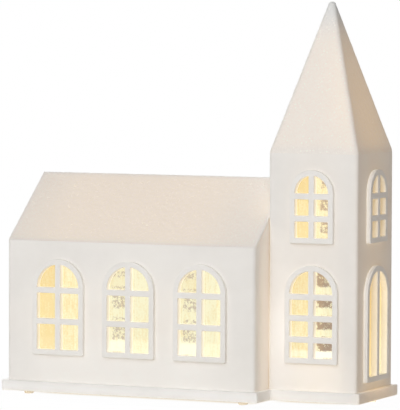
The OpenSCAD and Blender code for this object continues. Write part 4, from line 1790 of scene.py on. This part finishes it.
@dataclass
class SnowRoofs(Part):
    """The nave roof and the spire with their coat of sugar snow.

    Attributes:
        cell: spacing of the points that carry the coat's lumps.
        lump: depth of the lumps, all of it inward.
        lump_size: width of a lump.
        fade: distance from an edge over which the lumps grow.
        eave_cells: cells over which they grow from the eaves.
        hip_r: radius along the spire's hips.
        hip_from: height over the spire's foot from which they have it.
        fullness: how far the spire's faces stand out past the straight line to the apex.
        ball_steps: rings of points in its domed tip.
        ridge_chords: chords in each half of the ridge.
        verge_r: radius of the roof's edge over the gables.
        verge_steps: shares of that radius at which the round has its sections.
        verge_least: share of that round that is left at the eaves.
        eave: lamp light beside the eaves.
        ridge: the same beside the ridge.
        gable: the same beside the gables.
        hip: the same beside the hips.
        foot: the same beside the spire's foot.
        tip: the same beside its tip.
        grains: grains of grit a square centimetre that stand on the coat.
        grain_mm: least and greatest radius of a grain.
        coarse: share of the grains that are coarser, and how many times.
        tilt: how far a grain leans at most, in radians.
        grain_light: share of the lamp light that a grain gets.
        grit_in: distance that the grains keep from the coat's edges.
        grit_top: half the spire's width where they end.
        lip_r: radius of the corners of the spire's lip and hollow.
    """

    cell: float = 1.0 * MM
    lump: float = 0.3 * MM
    lump_size: float = 2.2 * MM
    fade: float = 2 * MM
    eave_cells: int = 3
    hip_r: float = 3.2 * MM
    hip_from: float = 20 * MM
    fullness: float = 0.5 * MM
    ball_steps: int = 10
    ridge_chords: int = 3
    verge_r: float = 1.2 * MM
    verge_steps: tuple[float, ...] = (0.12, 0.35, 0.7)
    verge_least: float = 0.4
    eave: EdgeShade = EdgeShade(0.5, 4 * MM)
    ridge: EdgeShade = EdgeShade(0.45, 5 * MM)
    gable: EdgeShade = EdgeShade(0.6, 5 * MM)
    hip: EdgeShade = EdgeShade(0.6, 5 * MM)
    foot: EdgeShade = EdgeShade(0.7, 9 * MM)
    tip: EdgeShade = EdgeShade(0.1, 32 * MM)
    grains: float = 9.0
    grain_mm: tuple[float, float] = (0.2, 0.42)
    coarse: tuple[float, float] = (0.04, 1.8)
    tilt: float = 0.6
    grain_light: float = 0.9
    grit_in: float = 3 * MM
    grit_top: float = 6 * MM
    lip_r: float = 0.5 * MM

    def sunk(self, point: Vector, normal: Vector, share: float) -> Vector:
        """Sinks a point of the coat under its nominal face by the lumps' depth there.

        Args:
            point: the point on the nominal face.
            normal: direction out of it.
            share: how much of the lumps there is.

        Returns:
            The sunk point.
        """
        fine = noise.noise(point / self.lump_size)
        broad = noise.noise(point / (6 * self.lump_size))
        return point - normal * (self.lump * share * (0.5 + 0.35 * fine + 0.15 * broad))

    def section(self) -> Profile:
        """Draws the roof's section over the eaves.

        Returns:
            How far across and up each point lies, and the share of the lumps there.
        """
        half, rise, pitch, r = SITE.nave_d / 2, SITE.roof_rise, SITE.roof_pitch, SITE.ridge_r
        centre = rise - r / math.cos(pitch)
        start = (half, 0.0)
        touch = (r * math.sin(pitch), centre + r * math.cos(pitch))
        length = math.dist(start, touch)
        count = round(length / self.cell)
        slope = [(start[0] + (touch[0] - start[0]) * k / count,
                  start[1] + (touch[1] - start[1]) * k / count,
                  min(1.0, k / self.eave_cells)) for k in range(count + 1)]
        turns = [pitch * (1 - k / self.ridge_chords) for k in range(1, self.ridge_chords)]
        crown = [(r * math.sin(a), centre + r * math.cos(a), 1.0) for a in turns]
        right = slope + crown
        left = [(-u, v, s) for u, v, s in reversed(right)]
        return right + [(0.0, centre + r, 1.0)] + left

    def roof(self) -> Thing:
        """Makes the nave roof as a closed loft along X.

        Returns:
            The roof.
        """
        outer = self.section()
        half_d = SITE.nave_d / 2
        level = half_d - SITE.roof_t / math.sin(SITE.roof_pitch)
        inner = [(-level, 0.0, 0.0), (0.0, level * math.tan(SITE.roof_pitch), 0.0), (level, 0.0, 0.0)]
        steps = round(SITE.nave_l / self.cell)
        corner = SITE.wall_r
        xs = [SITE.nave_x0 + SITE.nave_l * k / steps for k in range(steps + 1)]
        for step in self.verge_steps:
            xs += [SITE.nave_x0 + step * self.verge_r, SITE.junction_x - step * self.verge_r]
        xs.sort()
        draft = MeshDraft("lit", "through")
        rings = []
        pitch = SITE.roof_pitch
        slope_l = half_d / math.cos(pitch)
        for x in xs:
            near = min(x - SITE.nave_x0, SITE.junction_x - x)
            cut = corner - math.sqrt(max(corner ** 2 - max(corner - near, 0.0) ** 2, 0.0))
            widest = half_d - cut
            verge = max(self.verge_r - near, 0.0)
            drop = self.verge_r - math.sqrt(self.verge_r ** 2 - verge ** 2)
            ring = []
            for u, v, share in outer:
                flat = max(-widest, min(widest, u))
                point = Vector((x, flat, SITE.eave_z + v))
                side = max(-1.0, min(1.0, u / (SITE.ridge_r * math.sin(pitch))))
                normal = Vector((0, math.sin(pitch) * side, math.cos(pitch * abs(side))))
                fade = share * min(1.0, near / self.fade)
                round_off = normal * (drop * min(1.0, share + self.verge_least))
                sunk = self.sunk(point, normal, fade) - round_off
                eave_l = slope_l * (1 - abs(u) / half_d)
                thin = min(self.eave.at(eave_l), self.ridge.at(slope_l - eave_l), self.gable.at(near))
                ring.append(draft.add(sunk, lit=0.0, through=thin))
            for u, v, _ in inner:
                ring.append(draft.add(Vector((x, u, SITE.eave_z + v)), lit=1.0))
            rings.append(ring)
        split = len(outer) - 1
        for one, two in zip(rings, rings[1:]):
            draft.bridge(one[:split + 1], two[:split + 1], 0, closed=False)
            draft.bridge(one[split:] + one[:1], two[split:] + two[:1], 1, closed=False)
        for end in (rings[0], rings[-1]):
            rim = draft.ring([draft.points[n].copy() for n in end], lit=0.0)
            draft.bridge(end, rim, 1)
            draft.cap([rim], 1)
        return draft.piece("nave_roof_coated", [PALETTE.roof, PALETTE.cap], smooth_below=30)

    def hip_ring(self, half: float, radius: float, count: int) -> list[Vector]:
        """Draws one level section of the spire about its axis: a square with round corners.

        Args:
            half: half the width of the square.
            radius: radius of its corners.
            count: points on each side.

        Returns:
            The points, anticlockwise.
        """
        made = []
        radius = min(radius, half)
        core = half - radius
        for k in range(4 * count):
            side, t = divmod(k, count)
            run = math.tan(math.pi / 4 * (2 * t / count - 1))
            reach = half
            if half * abs(run) > core:
                a, b = 1 + run * run, core * (1 + abs(run))
                reach = (b + math.sqrt(max(b * b - a * (2 * core * core - radius ** 2), 0.0))) / a
            quarter = Matrix.Rotation(math.pi / 2 * side, 3, "Z")
            made.append(quarter @ Vector((reach, reach * run, 0)))
        return made

    def spire(self) -> Thing:
        """Makes the spire: coated outside, bare inside, with the lip that centres it.

        Returns:
            The spire.
        """
        full, rise, pitch = SITE.tower_w / 2, SITE.spire_rise, SITE.spire_pitch
        foot = Vector((SITE.tower_cx, 0, SITE.tower_top_z))
        top = rise - SITE.tip_share * SITE.tip_r * math.tan(pitch) / math.sqrt(2) + SITE.tip_r
        apex = rise + self.fullness * math.tan(pitch)
        ball = (apex - top) / (1 / math.cos(pitch) - 1)
        ball_z = top - ball
        touch_z = ball_z + ball * math.cos(pitch)
        count = round(SITE.tower_w / self.cell)
        steps = round(touch_z / self.cell)
        levels = [touch_z * k / steps for k in range(steps)]
        start = math.pi / 2 - pitch
        turns = [start + (math.pi / 2 - start) * k / self.ball_steps for k in range(self.ball_steps)]
        levels += [ball_z + ball * math.sin(turn) for turn in turns]
        draft = MeshDraft("lit", "through")
        rings = []
        for z in levels:
            half = min(full, (apex - z) / math.tan(pitch))
            radius = SITE.wall_r + (self.hip_r - SITE.wall_r) * min(1.0, z / self.hip_from)
            if z >= touch_z:
                half = math.sqrt(max(ball ** 2 - (z - ball_z) ** 2, 0.0))
                radius = half
            fade = min(1.0, z / self.fade)
            ring = []
            for spot in self.hip_ring(half, radius, count):
                wide, narrow = max(abs(spot.x), abs(spot.y)), min(abs(spot.x), abs(spot.y))
                flat = (Vector((math.copysign(1, spot.x), 0, 0)) if abs(spot.x) > abs(spot.y)
                        else Vector((0, math.copysign(1, spot.y), 0)))
                normal = flat * math.sin(pitch) + Vector((0, 0, math.cos(pitch)))
                if z >= touch_z:
                    normal = Vector((spot.x, spot.y, z - ball_z)).normalized()
                thin = min(self.hip.at(wide - narrow), self.foot.at(z), self.tip.at(top - z))
                ring.append(draft.add(
                    self.sunk(foot + spot + Vector((0, 0, z)), normal, fade), lit=0.0, through=thin))
            rings.append(ring)
        for one, two in zip(rings, rings[1:]):
            draft.bridge(one, two)
        tip = draft.add(foot + Vector((0, 0, top - 0.5 * self.lump)), lit=0.0, through=self.tip.least)
        for k, here in enumerate(rings[-1]):
            draft.face((here, rings[-1][(k + 1) % len(rings[-1])], tip))
        self.inside(draft, rings[0], foot, count)
        return draft.piece("spire_coated", [PALETTE.spire, PALETTE.cap], smooth_below=45)

    def inside(self, draft: MeshDraft, outer: list[int], foot: Vector, count: int) -> None:
        """Adds the spire's foot, its lip and its hollow.

        Args:
            draft: the spire's draft.
            outer: the lowest ring of its outside.
            foot: middle of its foot.
            count: points on each side of a ring.
        """
        lip = SITE.tower_w / 2 - SITE.wall_t - SITE.seat_gap
        room = lip - SITE.lip_t
        level = SITE.tower_w / 2 - SITE.spire_t / math.sin(SITE.spire_pitch)
        top = level * math.tan(SITE.spire_pitch)
        meet = (level - room) * math.tan(SITE.spire_pitch)
        steps = [(lip, 0.0, 0.0), (lip, -SITE.lip_h, 0.6), (room, -SITE.lip_h, 1.0),
                 (room, max(meet, 0.0), 1.0), (room * 0.5, (level - room * 0.5) / level * top, 1.0),
                 (1 * MM, (level - 1 * MM) / level * top, 1.0)]
        last = outer
        for half, z, lit in steps:
            ring = [draft.add(foot + spot + Vector((0, 0, z)), lit=lit)
                    for spot in self.hip_ring(half, self.lip_r, count)]
            draft.bridge(last, ring, 1)
            last = ring
        draft.cap([last], 1)

    def grit(self, name: str, faces: list[tuple[Vector, Vector, Vector]], finish: Finish,
             seed: int) -> Thing:
        """Scatters single grains over flat triangles of the coat.

        Args:
            name: name of the piece.
            faces: the triangles' corners.
            finish: the grains' finish.
            seed: number that fixes where they fall.

        Returns:
            All the grains as one piece.
        """
        chance = random.Random(seed)
        coarse_share, coarser = self.coarse
        draft = MeshDraft("lit", "through")
        for a, b, c in faces:
            across = (b - a).cross(c - a)
            normal = across.normalized()
            area = across.length / 2
            for _ in range(round(area / (10 * MM) ** 2 * self.grains)):
                s, t = chance.random(), chance.random()
                if s + t > 1:
                    s, t = 1 - s, 1 - t
                spot = a + (b - a) * s + (c - a) * t - normal * (0.5 * self.lump)
                size = chance.uniform(*self.grain_mm) * MM
                size *= coarser if chance.random() < coarse_share else 1.0
                turn = Matrix.Rotation(chance.uniform(0, math.tau), 3, normal)
                tilt = Matrix.Rotation(chance.uniform(-self.tilt, self.tilt), 3, "X")
                corners = [turn @ tilt @ Vector(p) * size for p in
                           ((1, 0, 0), (0, 1, 0), (-1, 0.2, 0), (0.1, -1, 0), (0, 0, 1), (0, 0, -0.9))]
                ring = [draft.add(spot + p, lit=0.0, through=self.grain_light) for p in corners]
                for k in range(4):
                    draft.face((ring[k], ring[(k + 1) % 4], ring[4]))
                    draft.face((ring[(k + 1) % 4], ring[k], ring[5]))
        return draft.piece(name, [finish], smooth_below=5)

    def build(self) -> list[Thing]:
        """Makes both coated castings and their grains.

        Returns:
            The pieces.
        """
        made = [self.fit(self.roof(), "nave_roof", "porcelain_snow"),
                self.fit(self.spire(), "spire", "porcelain_snow")]
        inset, half_d, half_w = self.grit_in, SITE.nave_d / 2, SITE.tower_w / 2
        x0, x1 = SITE.nave_x0 + inset, SITE.junction_x - inset
        slope = math.tan(SITE.roof_pitch)
        faces = []
        for side in (-1, 1):
            low, high = side * (half_d - inset), side * inset
            low_z, high_z = SITE.eave_z + inset * slope, SITE.eave_z + (half_d - inset) * slope
            corners = [Vector((x0, low, low_z)), Vector((x1, low, low_z)),
                       Vector((x1, high, high_z)), Vector((x0, high, high_z))]
            if side > 0:
                corners.reverse()
            p, q, r, s = corners
            faces += [(p, q, r), (p, r, s)]
        made.append(self.fit(self.grit("nave_roof_grains", faces, PALETTE.roof, seed=11),
                             "nave_roof", "porcelain_snow"))
        foot = Vector((SITE.tower_cx, 0, SITE.tower_top_z))
        low, high, slope = half_w - inset, self.grit_top, math.tan(SITE.spire_pitch)
        low_z, high_z = inset * slope, (half_w - high) * slope
        faces = []
        for k in range(4):
            turn = Matrix.Rotation(math.pi / 2 * k, 3, "Z")
            corners = [Vector((low, -low + inset, low_z)), Vector((low, low - inset, low_z)),
                       Vector((high, high - inset, high_z)), Vector((high, -high + inset, high_z))]
            p, q, r, s = (foot + turn @ c for c in corners)
            faces += [(p, q, r), (p, r, s)]
        made.append(self.fit(self.grit("spire_grains", faces, PALETTE.spire, seed=12),
                             "spire", "porcelain_snow"))
        return made


@dataclass
class DressedNodes(Part):
    """CAD pieces that keep their own mesh and get a finish.

    Attributes:
        title: name of the sub-assembly.
        nodes: the CAD's nodes by name.
        finishes: finish of each of its nodes.
    """

    title: str
    nodes: dict[str, Thing]
    finishes: dict[str, Finish]

    def build(self) -> list[Thing]:
        """Puts each finish on its node's slots.

        Returns:
            The nodes.
        """
        made = []
        for name, finish in self.finishes.items():
            node = self.nodes[name]
            if not node.material_slots:
                node.data.materials.append(finish.material())
            for slot in node.material_slots:
                slot.material = finish.material()
            log.info("%s: %s keeps its mesh, finish %s", self.title, name, finish.name)
            made.append(node)
        return made


@dataclass
class Studio:
    """White table, plain even light from the front, and the camera.

    Attributes:
        lens_mm: focal length on a 36 mm sensor.
        aim: point that the camera looks at.
        distance: from the camera to that point.
        azimuth: bearing of the camera in radians, from the front toward the east.
        elevation: its height over the level in radians.
        roll: its turn about the line of sight in radians.
        key_level: how brightly the main light falls.
        fill_level: how brightly the low light in front falls, which softens the shadows.
        back_level: how brightly the light behind the object falls.
        under_level: how brightly the light under the table falls on the object's underside.
        ambient: level of the light from all round.
        light_distance: from the softboxes to the point that the camera looks at.
        floor_r: radius of the table.
        card: colour of the table.
        warm: colour of the table in the shade under the object.
        pool: depths under the plinth from the edge between which the shade deepens.
        west: X between which that shade turns warm from the west.
        east: the same from the east.
        shadow: how far from the object its faint shadow reaches.
        shadow_level: brightness of the table in that shadow at the object.
        window: depth under the plinth from which the table lets light through.
    """

    lens_mm: float = 311.99
    aim: tuple[float, float, float] = (-0.004852, 0.0, 0.137199)
    distance: float = 2.582043
    azimuth: float = 0.4298915
    elevation: float = 0.0562038
    roll: float = 0.0033295
    key_level: float = 0.51
    fill_level: float = 0.17
    back_level: float = 0.5
    under_level: float = 0.4
    ambient: float = 0.13
    light_distance: float = 3.2
    floor_r: float = 12.0
    card: str = "#F8F7F5"
    # warm: painted colour of the table in the shade under the object. pool: depths under the plinth from
    # the edge between which the painted shade deepens.
    warm: str = "#DFCEA8"
    pool: tuple[float, float] = (2 * MM, 26 * MM)
    west: tuple[float, float] = (-118 * MM, -98 * MM)
    east: tuple[float, float] = (124 * MM, 100 * MM)
    shadow: float = 50 * MM
    shadow_level: float = 0.98
    window: float = 3 * MM

    def camera(self) -> None:
        """Places the camera as the photo's geometry has it."""
        a, e, r = self.azimuth, self.elevation, self.roll
        back = Vector((math.sin(a) * math.cos(e), -math.cos(a) * math.cos(e), math.sin(e)))
        right = (-back).cross(Vector((0, 0, 1))).normalized()
        up = right.cross(-back)
        x = right * math.cos(r) + up * math.sin(r)
        y = up * math.cos(r) - right * math.sin(r)
        lens = bpy.data.cameras.new("camera")
        lens.lens = self.lens_mm
        lens.sensor_width = 36
        lens.clip_end = 100
        rig = bpy.data.objects.new("camera", lens)
        bpy.context.scene.collection.objects.link(rig)
        place = Matrix((x, y, back)).transposed().to_4x4()
        place.translation = Vector(self.aim) + back * self.distance
        rig.matrix_world = place
        bpy.context.scene.camera = rig

    def light(self, name: str, toward: Vector, size: float, level: float) -> None:
        """Hangs a square softbox.

        Args:
            name: name of the light.
            toward: direction from the object to the light.
            size: width of the box in metres.
            level: brightness of a matte white card that faces it at the object.
        """
        lamp = bpy.data.lights.new(name, "AREA")
        lamp.shape = "SQUARE"
        lamp.size = size
        lamp.energy = level * math.pi ** 2 * self.light_distance ** 2
        box = bpy.data.objects.new(name, lamp)
        bpy.context.scene.collection.objects.link(box)
        box.location = Vector(self.aim) + toward.normalized() * self.light_distance
        box.rotation_mode = "QUATERNION"
        box.rotation_quaternion = (-toward).to_track_quat("-Z", "Y")

    def world(self) -> None:
        """Gives white all round to the eye and mirrors, and the plain ambient level to the rest."""
        world = bpy.data.worlds.new("studio")
        world.use_nodes = True
        tree = world.node_tree
        tree.nodes.clear()
        path = put(tree, "LightPath")
        straight = put(tree, "Math", {
            0: Out(path, "Is Camera Ray"), 1: Out(path, "Is Glossy Ray")}, operation="MAXIMUM")
        seen = put(tree, "Math", {
            0: straight, 1: Out(path, "Is Transmission Ray")}, operation="MAXIMUM")
        strength = put(tree, "MapRange", {"Value": seen, "To Min": self.ambient})
        sky = put(tree, "Background", {"Color": linear("#FFFFFF"), "Strength": strength})
        put(tree, "OutputWorld", {"Surface": sky})
        bpy.context.scene.world = world

    def beside(self, tree: Tree, place: Out, box: tuple[float, ...]) -> Out:
        """Measures how far outside an upright box a point lies.

        Args:
            tree: the node tree.
            place: the point.
            box: middle of the box along X, then half its length and half its depth.

        Returns:
            The distance output, negative inside.
        """
        middle, half_l, half_d = box
        shifted = put(tree, "VectorMath", {0: place, 1: (middle, 0.0, 0.0)}, operation="SUBTRACT")
        size = put(tree, "VectorMath", {0: shifted}, operation="ABSOLUTE")
        past = put(tree, "VectorMath", {0: size, 1: (half_l, half_d, 0.0)}, operation="SUBTRACT")
        parts = put(tree, "SeparateXYZ", {0: past})
        return Out(put(tree, "Math", {0: parts, 1: Out(parts, 1)}, operation="MAXIMUM"), 0)

    def floor(self) -> None:
        """Lays the white table, which is clear from below and keeps a faint shadow.

        Under the plinth it lies in a painted shade, which painted light from the gaps round the
        trays warms.
        Right under the object it lets light through, so that views from below show the trays.
        """
        made = bpy.data.materials.new("studio_table")
        made.use_nodes = True
        tree = made.node_tree
        tree.nodes.clear()
        place = Out(put(tree, "TexCoord"), "Object")
        out = SITE.plinth_out
        nave = self.beside(tree, place, (SITE.nave_cx, SITE.nave_l / 2 + out, SITE.nave_d / 2 + out))
        tower = self.beside(tree, place, (SITE.tower_cx, SITE.tower_w / 2 + out, SITE.tower_w / 2 + out))
        away = put(tree, "Math", {0: nave, 1: tower}, operation="MINIMUM")
        # Painted shade under the plinth, warmed by painted light from the gaps round the trays
        pool = put(tree, "MapRange", {
            "Value": away, "From Min": -self.pool[0], "From Max": -self.pool[1]},
            interpolation_type="SMOOTHSTEP")
        axes = put(tree, "SeparateXYZ", {0: place})
        west = put(tree, "MapRange", {"Value": axes, "From Min": self.west[0], "From Max": self.west[1]})
        east = put(tree, "MapRange", {"Value": axes, "From Min": self.east[0], "From Max": self.east[1]})
        warm_part = put(tree, "Math", {0: west, 1: east}, operation="MULTIPLY")
        warmed = put(tree, "Math", {0: pool, 1: warm_part}, operation="MULTIPLY")
        glow = put(tree, "Mix", {
            0: warmed, MIX_A: linear("#FFFFFF"), MIX_B: linear(self.warm)}, data_type="RGBA")
        shadow = put(tree, "MapRange", {
            "Value": away, "From Min": 0.0, "From Max": self.shadow, "To Min": self.shadow_level},
            interpolation_type="SMOOTHSTEP")
        path = put(tree, "LightPath")
        seen = put(tree, "Math", {
            0: Out(path, "Is Camera Ray"), 1: Out(path, "Is Transmission Ray")}, operation="MAXIMUM")
        card = put(tree, "BsdfDiffuse", {"Color": linear(self.card)})
        white = put(tree, "Emission", {"Color": Out(glow, MIX_RESULT)})
        share = put(tree, "Math", {0: seen, 1: shadow}, operation="MULTIPLY")
        table = put(tree, "MixShader", {0: share, 1: card, 2: white})
        clear = put(tree, "BsdfTransparent")
        below = put(tree, "NewGeometry")
        inside = put(tree, "Math", {0: away, 1: -self.window}, operation="LESS_THAN")
        unseen = put(tree, "Math", {0: 1.0, 1: Out(path, "Is Camera Ray")}, operation="SUBTRACT")
        window = put(tree, "Math", {0: inside, 1: unseen}, operation="MULTIPLY")
        lets = put(tree, "Math", {0: Out(below, "Backfacing"), 1: window}, operation="MAXIMUM")
        both = put(tree, "MixShader", {0: lets, 1: table, 2: clear})
        put(tree, "OutputMaterial", {"Surface": both})
        rim = arc((0.0, 0.0), self.floor_r, 0, math.tau, steps=64)[:-1]
        mesh = bpy.data.meshes.new("table")
        mesh.from_pydata([(x, y, 0.0) for x, y in rim], [], [tuple(range(len(rim)))])
        mesh.materials.append(made)
        table_top = bpy.data.objects.new("table", mesh)
        bpy.context.scene.collection.objects.link(table_top)

    def build(self) -> None:
        """Sets the scene round the object."""
        self.camera()
        self.world()
        self.light("key", Vector((0.11, -1.0, 0.5)), size=2.8, level=self.key_level)
        self.light("fill", Vector((0.05, -1.0, 0.1)), size=2.2, level=self.fill_level)
        self.light("back", Vector((-0.8, 1.0, 0.6)), size=2.2, level=self.back_level)
        self.light("under", Vector((0.0, 0.0, -1.0)), size=2.2, level=self.under_level)
        self.floor()
        view = bpy.context.scene.view_settings
        view.view_transform = "Standard"


def main() -> None:
    """Builds the scene round the CAD frame and dresses the object."""
    logging.basicConfig(level=logging.INFO, format="%(message)s")
    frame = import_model()
    nodes = frame["nodes"]
    parts: list[Part] = [
        Plinth(), Walls(), WindowCastings(), WindowFilms(), SnowRoofs(),
        DressedNodes("base", nodes, {
            "bumper_feet": PALETTE.feet, "nave_tray": PALETTE.tray, "tower_tray": PALETTE.tray,
            "battery_cover": PALETTE.tray, "fixing_blocks": PALETTE.tray,
            "tray_screws": PALETTE.steel}),
        DressedNodes("power", nodes, {
            "aa_cells": PALETTE.cells, "battery_springs": PALETTE.steel,
            "battery_plates": PALETTE.steel, "switch_housing": PALETTE.black,
            "switch_knob": PALETTE.black, "leads": PALETTE.jacket}),
        DressedNodes("lamps", nodes, {
            "nave_led_board": PALETTE.board, "tower_led_board": PALETTE.board,
            "nave_leds": PALETTE.lens, "tower_led": PALETTE.lens}),
    ]
    for part in parts:
        made = part.build()
        log.info("%s: %d pieces", type(part).__name__, len(made))
    Studio().build()


if __name__ == "__main__":
    main()
